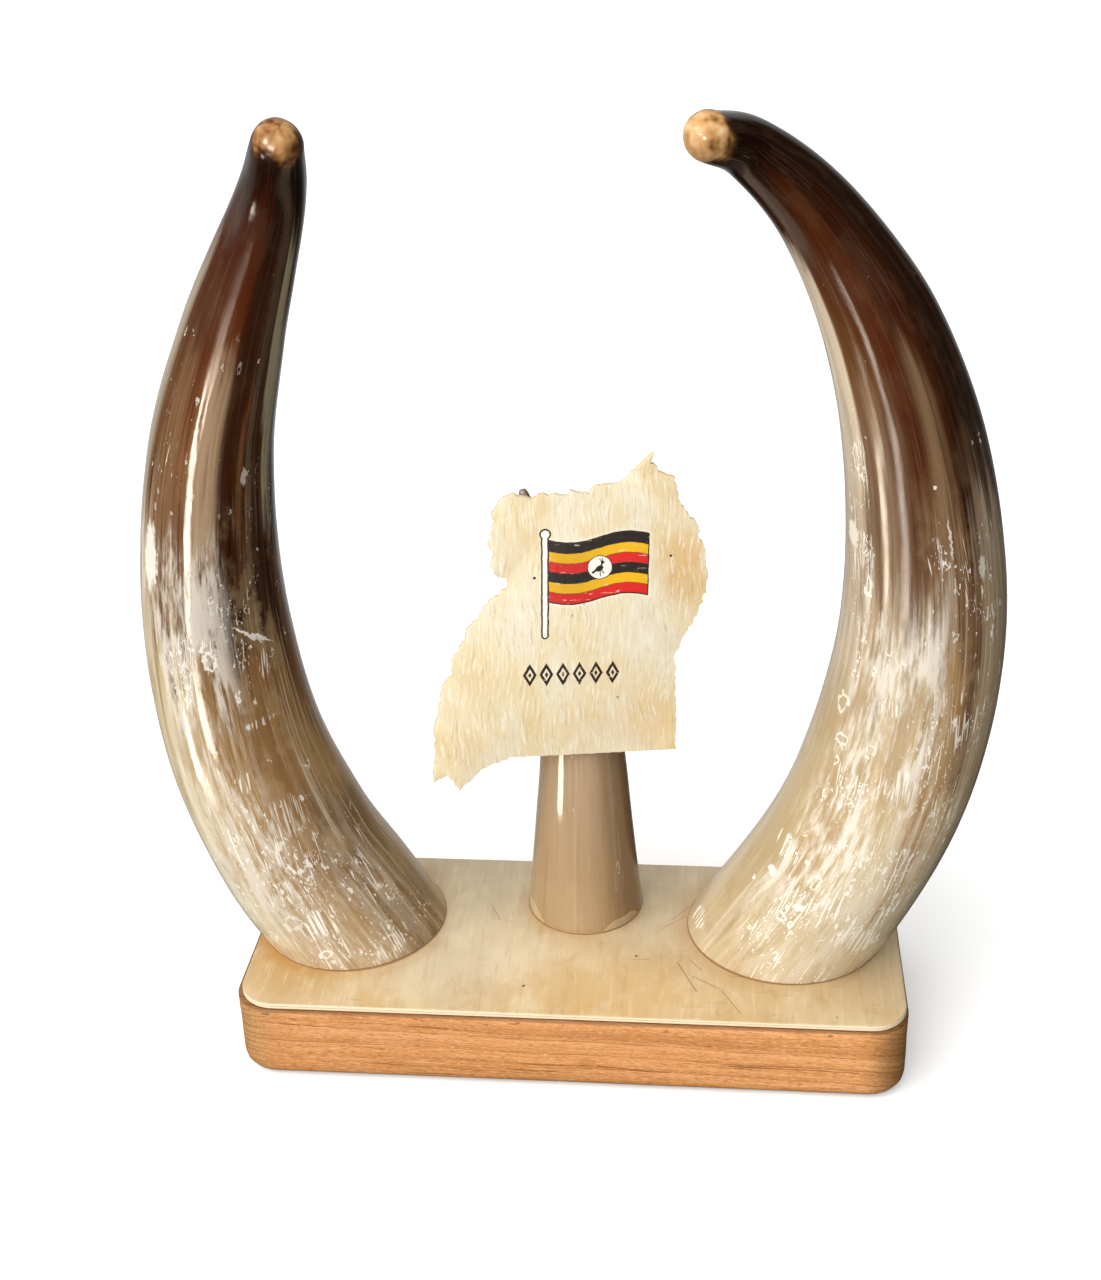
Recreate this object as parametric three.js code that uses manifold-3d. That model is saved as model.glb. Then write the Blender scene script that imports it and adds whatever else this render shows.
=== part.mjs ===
// A pair of polished cow horns on a wooden stand, with a small pedestal horn between them
// that carries a country-shaped plaque. Everything is glued together and nothing moves.
//
// Units are millimetres. +Z is up, +X is the viewer's right, +Y points away from the viewer.
// The origin lies on the block's flat underside, below the middle of the top plate.
import * as THREE from 'three';
import { mergeVertices } from 'three/addons/utils/BufferGeometryUtils.js';
import Module from 'manifold-3d';

const wasm = await Module();
wasm.setup();

// Driving dimensions

const glueGap = 0.25; // left between two pieces that are glued face to face

// The block is sawn a little long on its left, so it stands further out there
const block = {
  width: 253, depth: 100.5, height: 31.2, corner: 15, footRound: 5, roundSteps: 4, offset: -0.5,
};
const plate = { width: 250, depth: 98.5, thickness: 2.5, corner: 14, edgeRound: 0.5, roundSteps: 1 };
const cornerSteps = 8;

const plateBottom = block.height + glueGap;
const plateTop = plateBottom + plate.thickness;

// Each horn is a row of stations from below the saw cut up to the tip:
// x, y, height above the top plate, radius across, radius from front to back
const leftHorn = {
  stations: [
    [-78.5, 8, -20.5, 32.4, 35.8],
    [-95.5, 8, 9.5, 31.2, 36.6],
    [-111.5, 8, 38, 30.6, 35.2],
    [-127, 10, 82, 29, 32],
    [-133, 13, 137, 26, 28],
    [-127, 11, 194.5, 21.8, 23],
    [-111.5, 3, 243, 17.3, 17.3],
    [-91, -11, 289.5, 11.2, 11.2],
    [-82.5, -27, 311.5, 7.7, 7.7],
  ],
  sides: 32,
  rings: 44,
  domeRings: 4,
};

const rightHorn = {
  stations: [
    [69, 10.5, -20.5, 32.8, 37.2],
    [101.5, 10.5, 34, 31.5, 37.5],
    [118.5, 12, 79.5, 31.5, 34.8],
    [126, 14.5, 133.5, 29, 31],
    [120, 15, 193.5, 24.5, 26],
    [105, 12, 242, 19.3, 20],
    [83, 7, 280, 13.4, 13.4],
    [61, -3, 303, 9.5, 9.5],
    [47, -19, 311, 7.4, 7.4],
  ],
  sides: 32,
  rings: 44,
  domeRings: 4,
};

const pedestalHorn = {
  stations: [
    [2, 22.4, -14.5, 24.4, 24.4],
    [2, 22.4, 27.5, 19.9, 19.9],
    [2, 22.4, 68.5, 16.3, 16.3],
    [0.5, 22, 102.5, 13.6, 13.6],
    [-4.5, 20.2, 132.5, 10.1, 10.1],
    [-11, 17.3, 158, 5.8, 5.8],
    [-16.5, 14.5, 181, 1.4, 1.4],
  ],
  sides: 28,
  rings: 26,
  domeRings: 3,
};

// The plaque's outline, seen from the front, starting at the spike on its top edge and going
// clockwise. The point 0, 0 is where its straight lower edge crosses the pedestal.
const plaqueOutline = [
  [24, 115.5], [23.3, 112], [26, 109], [31.5, 106], [32.5, 102], [33.5, 98], [37, 92],
  [40.5, 88.5], [41.5, 82.5], [43.5, 79], [44, 73.5], [45, 68], [43, 59], [40.5, 53], [36, 45],
  [33.5, 38], [34, 32], [34, 23], [35, 0],
  [-28, -0.5], [-32.5, -3], [-37, -4], [-40, -7], [-47, -13.5],
  [-49.5, -9], [-51.5, -7], [-56, -9.5], [-57, -8.5], [-55.5, -1], [-55.5, 12.5], [-53.5, 21.5],
  [-52.5, 28], [-48.5, 34], [-48.5, 38.5], [-44, 46.5], [-43, 51], [-38.5, 55.5], [-35, 61.5],
  [-31.5, 64], [-27.5, 67.5], [-28.5, 70.5], [-33, 72], [-34, 75], [-32.5, 79.5], [-34.5, 83],
  [-34, 86.5], [-32.5, 91], [-33, 95], [-30.5, 99],
  [-27, 101.5], [-23.5, 101], [-20, 100], [-15, 101.5], [-10, 101], [-6, 100.5], [-5.5, 102.5],
  [1, 101], [4.5, 104.5], [11, 104], [13.5, 105.5], [17.5, 109.5], [20.5, 112.5],
];

// seat is where the back face's lower edge crosses the pedestal, with its height above the top
// plate. yaw turns the right side away from the viewer, lean tips the top back along the
// pedestal, roll drops the right side a little.
const plaque = { thickness: 3, edgeRound: 0.4, seat: [3.5, 7, 80], yaw: 11, lean: 5, roll: -2 };

// Materials

const wood = new THREE.MeshStandardMaterial({ color: 0xc4824f, roughness: 0.55, metalness: 0 });
const bonePlate = new THREE.MeshStandardMaterial({ color: 0xcdb891, roughness: 0.4, metalness: 0 });
const horn = new THREE.MeshStandardMaterial({ color: 0x8a6a4c, roughness: 0.2, metalness: 0 });
const tanHorn = new THREE.MeshStandardMaterial({ color: 0xa88a66, roughness: 0.2, metalness: 0 });
const bonePlaque = new THREE.MeshStandardMaterial({ color: 0xeedfbd, roughness: 0.45, metalness: 0 });

// Boolean help: a closed geometry in and out of the solid library

function solidOf(geometry) {
  const bare = geometry.clone();
  for (const name of Object.keys(bare.attributes)) {
    if (name !== 'position') bare.deleteAttribute(name);
  }
  const merged = mergeVertices(bare, 1e-4);
  return new wasm.Manifold(new wasm.Mesh({
    numProp: 3,
    vertProperties: new Float32Array(merged.attributes.position.array),
    triVerts: new Uint32Array(merged.index.array),
  }));
}

function geometryOf(solid) {
  const mesh = solid.getMesh();
  const geometry = new THREE.BufferGeometry();
  geometry.setAttribute('position', new THREE.BufferAttribute(mesh.vertProperties, mesh.numProp));
  geometry.setIndex(new THREE.BufferAttribute(mesh.triVerts, 1));
  geometry.computeVertexNormals();
  return geometry;
}

function cut(geometry, ...tools) {
  const start = solidOf(geometry);
  return geometryOf(tools.reduce((body, tool) => body.subtract(solidOf(tool)), start));
}

// Shapes

function roundedRectangle(width, depth, corner) {
  const x = width / 2 - corner;
  const y = depth / 2 - corner;
  const shape = new THREE.Shape();
  shape.absarc(x, -y, corner, -Math.PI / 2, 0);
  shape.absarc(x, y, corner, 0, Math.PI / 2);
  shape.absarc(-x, y, corner, Math.PI / 2, Math.PI);
  shape.absarc(-x, -y, corner, Math.PI, 1.5 * Math.PI);
  return shape;
}

// A slab whose upper and lower edges are rounded, standing on z = 0
function roundedSlab(width, depth, height, corner, round, roundSteps) {
  const outline = roundedRectangle(width - 2 * round, depth - 2 * round, corner - round);
  const geometry = new THREE.ExtrudeGeometry(outline, {
    depth: height - 2 * round,
    curveSegments: cornerSteps,
    bevelEnabled: true,
    bevelThickness: round,
    bevelSize: round,
    bevelSegments: roundSteps,
  });
  return geometry.translate(0, 0, round);
}

function boxBetween(low, high) {
  const size = high.map((value, i) => value - low[i]);
  const middle = high.map((value, i) => (value + low[i]) / 2);
  return new THREE.BoxGeometry(...size).translate(...middle);
}

// A lathe of the horn's taper, closed by a dome at the tip, then made oval and bent
function hornGeometry({ stations, sides, rings, domeRings }) {
  const places = stations.map(([x, y, height]) => new THREE.Vector3(x, y, height));
  const girths = stations.map(([, , , across, deep]) => new THREE.Vector3(across, deep, 0));
  const axis = new THREE.CatmullRomCurve3(places, false, 'catmullrom');
  const girth = new THREE.CatmullRomCurve3(girths, false, 'catmullrom');
  const length = axis.getLength();

  const profile = [new THREE.Vector2(0, 0)];
  for (let i = 0; i <= rings; i++) {
    const along = i / rings;
    profile.push(new THREE.Vector2(girth.getPoint(along).x, along * length));
  }
  // The dome starts at the taper's own slope, so it meets the horn without a crease
  const last = profile.at(-1);
  const before = profile.at(-2);
  const slope = Math.atan((before.x - last.x) / (last.y - before.y));
  const domeRadius = last.x / Math.cos(slope);
  for (let i = 1; i <= domeRings; i++) {
    const angle = slope + (Math.PI / 2 - slope) * (i / domeRings);
    const radius = i === domeRings ? 0 : domeRadius * Math.cos(angle);
    const rise = domeRadius * (Math.sin(angle) - Math.sin(slope));
    profile.push(new THREE.Vector2(radius, length + rise));
  }

  const geometry = new THREE.LatheGeometry(profile, sides);
  const position = geometry.attributes.position;
  const awayFromViewer = new THREE.Vector3(0, 1, 0);
  for (let i = 0; i < position.count; i++) {
    const along = Math.min(position.getY(i) / length, 1);
    const pastTheEnd = Math.max(position.getY(i) - length, 0);
    const centre = axis.getPoint(along);
    const forward = axis.getTangent(along);
    const { x: across, y: deep } = girth.getPoint(along);
    const back = awayFromViewer.clone().addScaledVector(forward, -awayFromViewer.dot(forward));
    back.normalize();
    const side = new THREE.Vector3().crossVectors(forward, back);
    centre.addScaledVector(forward, pastTheEnd);
    centre.addScaledVector(side, position.getX(i));
    centre.addScaledVector(back, position.getZ(i) * (deep / across));
    position.setXYZ(i, centre.x, centre.y, centre.z);
  }
  return geometry.translate(0, 0, plateTop);
}

// Everything below the saw cut, as a box to take away
const belowTheCut = boxBetween([-300, -300, -100], [300, 300, plateTop + glueGap]);

function standingHorn(shape) {
  return cut(hornGeometry(shape), belowTheCut);
}

// The sheet that the plaque is sawn from, laid flat with its back face on z = 0
function plaqueGeometry() {
  const outline = new THREE.Shape(plaqueOutline.map(([x, y]) => new THREE.Vector2(x, y)));
  const geometry = new THREE.ExtrudeGeometry(outline, {
    depth: plaque.thickness - 2 * plaque.edgeRound,
    bevelEnabled: true,
    bevelThickness: plaque.edgeRound,
    bevelSize: plaque.edgeRound,
    bevelOffset: -plaque.edgeRound,
    bevelSegments: 1,
  });
  return geometry.translate(0, 0, plaque.edgeRound).rotateZ(THREE.MathUtils.degToRad(plaque.roll));
}

// Pieces

const parts = new THREE.Group();

function addPiece(name, geometry, material, parent = parts) {
  const mesh = new THREE.Mesh(geometry, material);
  mesh.name = name;
  parent.add(mesh);
  return mesh;
}

// The block is a slab rounded all along its lower edge and planed flat on top
const tallBlock = roundedSlab(
  block.width, block.depth, block.height + block.footRound, block.corner, block.footRound, block.roundSteps);
const aboveTheBlock = boxBetween([-300, -300, block.height], [300, 300, 100]);
const baseBlock = addPiece('base_block', cut(tallBlock, aboveTheBlock), wood);
baseBlock.position.x = block.offset;

const topPlate = addPiece('top_plate', roundedSlab(
  plate.width, plate.depth, plate.thickness, plate.corner, plate.edgeRound, plate.roundSteps), bonePlate);
topPlate.position.z = plateBottom;

addPiece('horn_left', standingHorn(leftHorn), horn);
addPiece('horn_right', standingHorn(rightHorn), horn);

// The plaque stands upright, turned and leaned to lie along the pedestal's front
const plaqueStance = new THREE.Group();
plaqueStance.position.set(...plaque.seat).add(new THREE.Vector3(0, 0, plateTop));
plaqueStance.rotation.set(
  THREE.MathUtils.degToRad(90 - plaque.lean), 0, THREE.MathUtils.degToRad(plaque.yaw), 'ZXY');
plaqueStance.updateMatrixWorld();
parts.add(plaqueStance);
addPiece('map_plaque', plaqueGeometry(), bonePlaque, plaqueStance);

// The pedestal has a flat filed into its front, a little larger than the glued stretch
const filedFlat = boxBetween([-80, -glueGap, -glueGap], [80, 140, 60])
  .rotateZ(THREE.MathUtils.degToRad(plaque.roll))
  .applyMatrix4(plaqueStance.matrixWorld);
addPiece('pedestal_horn', cut(hornGeometry(pedestalHorn), belowTheCut, filedFlat), tanHorn);

export default parts;
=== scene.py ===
# A pair of polished cow horns on a wooden stand. Between them a small horn carries a flat plaque.
import math

import bmesh
import bpy
from mathutils import Matrix, Vector, noise


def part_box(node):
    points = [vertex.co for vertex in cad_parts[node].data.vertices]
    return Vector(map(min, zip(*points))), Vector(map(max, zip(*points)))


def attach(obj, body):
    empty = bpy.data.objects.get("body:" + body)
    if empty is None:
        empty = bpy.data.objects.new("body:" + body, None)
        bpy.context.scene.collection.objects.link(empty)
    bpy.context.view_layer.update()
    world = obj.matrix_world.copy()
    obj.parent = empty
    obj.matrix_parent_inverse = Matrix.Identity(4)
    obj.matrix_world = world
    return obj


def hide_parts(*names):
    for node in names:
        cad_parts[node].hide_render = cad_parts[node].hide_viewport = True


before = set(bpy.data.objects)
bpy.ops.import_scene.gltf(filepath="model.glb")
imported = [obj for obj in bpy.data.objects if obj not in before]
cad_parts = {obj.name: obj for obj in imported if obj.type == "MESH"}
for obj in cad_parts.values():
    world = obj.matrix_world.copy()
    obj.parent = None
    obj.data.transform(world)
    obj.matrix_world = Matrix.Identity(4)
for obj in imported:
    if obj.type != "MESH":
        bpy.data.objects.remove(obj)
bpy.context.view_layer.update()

mm = 0.001  # sizes below are in millimetres unless a note says otherwise
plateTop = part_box("top_plate")[1].z / mm
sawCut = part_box("horn_left")[0].z / mm  # the height of the horns' sawn feet
print("frame loaded")


# Small helpers for node trees

def feed(tree, socket, value):
    if isinstance(value, bpy.types.NodeSocket):
        tree.links.new(value, socket)
    else:
        socket.default_value = value


def addNode(tree, kind, feeds=None, **settings):
    node = tree.nodes.new(kind)
    for name, value in settings.items():
        setattr(node, name, value)
    for name, value in (feeds or {}).items():
        feed(tree, node.inputs[name], value)
    return node


def calc(tree, operation, *values, clamp=False):
    node = addNode(tree, "ShaderNodeMath", operation=operation, use_clamp=clamp)
    for socket, value in zip(node.inputs, values):
        feed(tree, socket, value)
    return node.outputs[0]


def vectorCalc(tree, operation, *values):
    node = addNode(tree, "ShaderNodeVectorMath", operation=operation)
    sockets = (node.inputs[0], node.inputs["Scale"]) if operation == "SCALE" else node.inputs
    for socket, value in zip(sockets, values):
        feed(tree, socket, value)
    return node.outputs["Value" if operation in ("DOT_PRODUCT", "LENGTH", "DISTANCE") else "Vector"]


def addUp(tree, *values):
    total = values[0]
    for value in values[1:]:
        total = calc(tree, "ADD", total, value)
    return total


def multiply(tree, *values):
    total = values[0]
    for value in values[1:]:
        total = calc(tree, "MULTIPLY", total, value)
    return total


def largest(tree, *values):
    total = values[0]
    for value in values[1:]:
        total = calc(tree, "MAXIMUM", total, value)
    return total


def subtract(tree, value, less):
    return calc(tree, "SUBTRACT", value, less)


def divide(tree, value, by, clamp=False):
    return calc(tree, "DIVIDE", value, by, clamp=clamp)


def split(tree, vector):
    return tuple(addNode(tree, "ShaderNodeSeparateXYZ", {0: vector}).outputs)


def join(tree, x, y, z):
    return addNode(tree, "ShaderNodeCombineXYZ", {0: x, 1: y, 2: z}).outputs[0]


def fade(tree, value, start, end, low=0.0, high=1.0):
    # Goes smoothly from low, where value is at start, to high, where it is at end
    node = addNode(tree, "ShaderNodeMapRange", interpolation_type="SMOOTHSTEP")
    feeds = (("Value", value), ("From Min", start), ("From Max", end), ("To Min", low), ("To Max", high))
    for name, given in feeds:
        feed(tree, node.inputs[name], given)
    return node.outputs["Result"]


def between(tree, value, low, high, soft):
    return multiply(tree, fade(tree, value, low - soft, low), fade(tree, value, high + soft, high))


def swing(tree, value, *reach):
    # Turns a noise's value, from 0 to 1, to either side of nought: half the reach each way
    return multiply(tree, subtract(tree, value, 0.5), *reach)


def hypotenuse(tree, dx, dy):
    return calc(tree, "SQRT", addUp(tree, multiply(tree, dx, dx), multiply(tree, dy, dy)))


def noiseAt(tree, vector, scale, detail=2.0, roughness=0.5, distortion=0.0, squash=None):
    # The scale is in waves to one unit of the vector, a metre where a note says nothing else. A squash of
    # 0.1 on an axis draws the noise out ten times along it.
    if squash:
        vector = vectorCalc(tree, "MULTIPLY", vector, squash)
    feeds = {
        "Vector": vector, "Scale": scale, "Detail": detail, "Roughness": roughness, "Distortion": distortion,
    }
    return addNode(tree, "ShaderNodeTexNoise", feeds).outputs[0]


def cellsAt(tree, vector, scale):
    return addNode(tree, "ShaderNodeTexVoronoi", {"Vector": vector, "Scale": scale}).outputs


def colour(code):
    # A colour written as on screen, such as c9bb9b, in the linear values that a shader takes
    parts = [int(code[i:i + 2], 16) / 255 for i in (0, 2, 4)]
    return tuple(p / 12.92 if p <= 0.04045 else ((p + 0.055) / 1.055) ** 2.4 for p in parts) + (1.0,)


def mix(tree, amount, first, second, kind="MIX"):
    node = addNode(tree, "ShaderNodeMix", data_type="RGBA", blend_type=kind)
    for socket, value in zip((node.inputs[0], node.inputs[6], node.inputs[7]), (amount, first, second)):
        feed(tree, socket, colour(value) if isinstance(value, str) else value)
    return node.outputs[2]


def ramp(tree, value, stops, end=None, kind="LINEAR"):
    # Colours set along a stretch that starts at the first stop. A stop is a place and a colour.
    start = stops[0][0]
    length = (end or stops[-1][0]) - start
    node = addNode(tree, "ShaderNodeValToRGB")
    node.color_ramp.interpolation = kind
    elements = node.color_ramp.elements
    while len(elements) < len(stops):
        elements.new(0.5)
    for element, (place, code) in zip(elements, stops):
        element.position = (place - start) / length
        element.color = colour(code)
    feed(tree, node.inputs[0], divide(tree, subtract(tree, value, start), length, clamp=True))
    return node.outputs[0]


def stained(tree, base, amount, finish):
    # A finish is its strength and its colour
    strength, code = finish
    return mix(tree, multiply(tree, amount, strength), base, code)


def tinted(tree, base, patterns, rows, share=None, kind="MIX"):
    # A row is a pattern's name, the values where its tint starts and is full, its strength and its colour
    for name, start, full, strength, code in rows:
        amount = fade(tree, patterns[name], start, full, 0.0, strength)
        if share is not None:
            amount = multiply(tree, amount, share)
        base = mix(tree, amount, base, code, kind)
    return base


def objectPlace(tree):
    return addNode(tree, "ShaderNodeTexCoord").outputs["Object"]


def inMillimetres(tree, vector):
    return split(tree, vectorCalc(tree, "SCALE", vector, 1 / mm))


def newMaterial(name, **settings):
    material = bpy.data.materials.new(name)
    material.use_nodes = True
    tree = material.node_tree
    shader = tree.nodes["Principled BSDF"]
    for key, value in settings.items():
        shader.inputs[key].default_value = value
    return material, tree, shader


def dressSurface(tree, shader, base, roughness, relief, depth, strength=0.5):
    feed(tree, shader.inputs["Base Color"], base)
    feed(tree, shader.inputs["Roughness"], roughness)
    feeds = {"Height": relief, "Distance": depth * mm, "Strength": strength}
    feed(tree, shader.inputs["Normal"], addNode(tree, "ShaderNodeBump", feeds).outputs[0])


def addObject(name, data):
    item = bpy.data.objects.new(name, data)
    bpy.context.scene.collection.objects.link(item)
    return item


# The camera stands a little right of the middle and looks down on the ornament

cameraLook = {
    "place": (51.7, -556.5, 453.0),
    "turn": 6.0,  # degrees, to the left of straight ahead
    "tilt": 27.33,
    "roll": -1.73,
    "lens": 49.28,
    "frameHeight": 36,
}


def placeCamera(look):
    data = bpy.data.cameras.new("camera")
    data.sensor_fit = "VERTICAL"
    data.sensor_height = look["frameHeight"]
    data.lens = look["lens"]
    data.clip_start = 0.01
    camera = addObject("camera", data)
    facing = Matrix.Rotation(math.radians(look["turn"]), 4, "Z")
    tilting = Matrix.Rotation(math.radians(90 - look["tilt"]), 4, "X")
    rolling = Matrix.Rotation(math.radians(look["roll"]), 4, "Z")
    camera.matrix_world = Matrix.Translation(Vector(look["place"]) * mm) @ facing @ tilting @ rolling
    bpy.context.scene.camera = camera


placeCamera(cameraLook)


# Horn shape: a tube whose rings follow a centre line, from the saw cut to a rounded tip.
# Each station is x, y, height above the top plate, radius across, radius from front to back.

leftHorn = {
    "stations": (
        (-78.5, 8, -20.5, 32.4, 35.8),
        (-95.5, 8, 9.5, 31.2, 36.6),
        (-111.5, 8, 38, 30.6, 35.2),
        (-127, 10, 82, 29, 32),
        (-133, 13, 137, 26, 28),
        (-127, 11, 194.5, 21.8, 23),
        (-111.5, 3, 243, 17.3, 17.3),
        (-91, -11, 289.5, 11.2, 11.2),
        (-82.5, -27, 311.5, 7.7, 7.7),
    ),
    "rings": 230,
    "sides": 96,
    "lumps": 0.5,
    "scrapes": 0.25,
    "seed": 3,
}

rightHorn = {
    "stations": (
        (69, 10.5, -20.5, 32.8, 37.2),
        (101.5, 10.5, 34, 31.5, 37.5),
        (118.5, 12, 79.5, 31.5, 34.8),
        (126, 14.5, 133.5, 29, 31),
        (120, 15, 193.5, 24.5, 26),
        (105, 12, 242, 19.3, 20),
        (83, 7, 280, 13.4, 13.4),
        (61, -3, 303, 9.5, 9.5),
        (47, -19, 311, 7.4, 7.4),
    ),
    "rings": 230,
    "sides": 96,
    "lumps": 0.5,
    "scrapes": 0.25,
    "seed": 8,
}

pedestalHorn = {
    "stations": (
        (2, 22.4, -14.5, 24.4, 24.4),
        (2, 22.4, 27.5, 19.9, 19.9),
        (2, 22.4, 68.5, 16.3, 16.3),
        (0.5, 22, 102.5, 13.6, 13.6),
        (-4.5, 20.2, 132.5, 10.1, 10.1),
        (-11, 17.3, 158, 5.8, 5.8),
        (-16.5, 14.5, 181, 1.4, 1.4),
    ),
    "rings": 170,
    "sides": 72,
    "lumps": 0.3,
    "scrapes": 0.12,
    "seed": 5,
}

fibreRadius = 30  # the horn's fibres are mapped on an even tube of this radius, straightened out


def catmullRom(rows, steps):
    # A smooth run through every row, with the ends carried on straight
    rows = [Vector(row) for row in rows]
    padded = [2 * rows[0] - rows[1]] + rows + [2 * rows[-1] - rows[-2]]
    run = []
    for before, start, end, after in zip(padded, padded[1:], padded[2:], padded[3:]):
        for i in range(steps):
            t = i / steps
            bend = (2 * before - 5 * start + 4 * end - after) * t * t
            twist = (3 * start - before - 3 * end + after) * t ** 3
            run.append((2 * start + (end - before) * t + bend + twist) / 2)
    return run + [rows[-1]]


def centreLine(name, horn, stepsPerStation=12, tipSteps=16):
    # The centre line as a bare run of edges, with the tube's two radii stored at each point
    run = catmullRom(horn["stations"], stepsPerStation)
    places = [Vector((row[0], row[1], row[2] + plateTop)) for row in run]
    girths = [(row[3], row[4]) for row in run]
    # The tip is a dome that starts at the taper's own slope
    ahead = (places[-1] - places[-2]).normalized()
    slope = math.atan((girths[-2][0] - girths[-1][0]) / (places[-1] - places[-2]).length)
    domeRadius = girths[-1][0] / math.cos(slope)
    base = places[-1].copy()
    for i in range(1, tipSteps + 1):
        angle = slope + (math.pi / 2 - slope) * i / tipSteps
        places.append(base + ahead * domeRadius * (math.sin(angle) - math.sin(slope)))
        girths.append((domeRadius * math.cos(angle),) * 2)
    mesh = bpy.data.meshes.new(name)
    edges = [(i, i + 1) for i in range(len(places) - 1)]
    mesh.from_pydata([place * mm for place in places], edges, [])
    stored = mesh.attributes.new("girth", "FLOAT_VECTOR", "POINT")
    for i, (across, deep) in enumerate(girths):
        stored.data[i].vector = (across * mm, deep * mm, 0)
    return addObject(name, mesh)


hornRelief = {
    "startSteps": 5,
    "seam": 0.002,
    "seedShift": 0.37,
    "lumps": (28.0, 1.0),  # scale and detail
    "scrapes": (95.0, 2.0),
    "scrapeSquash": (1.0, 1.0, 0.06),
    "evenFoot": 6,  # the relief grows from nothing over this height above the foot
}


def namedVector(tree, name):
    feeds = {"Name": name}
    return addNode(tree, "GeometryNodeInputNamedAttribute", feeds, data_type="FLOAT_VECTOR").outputs[0]


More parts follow.
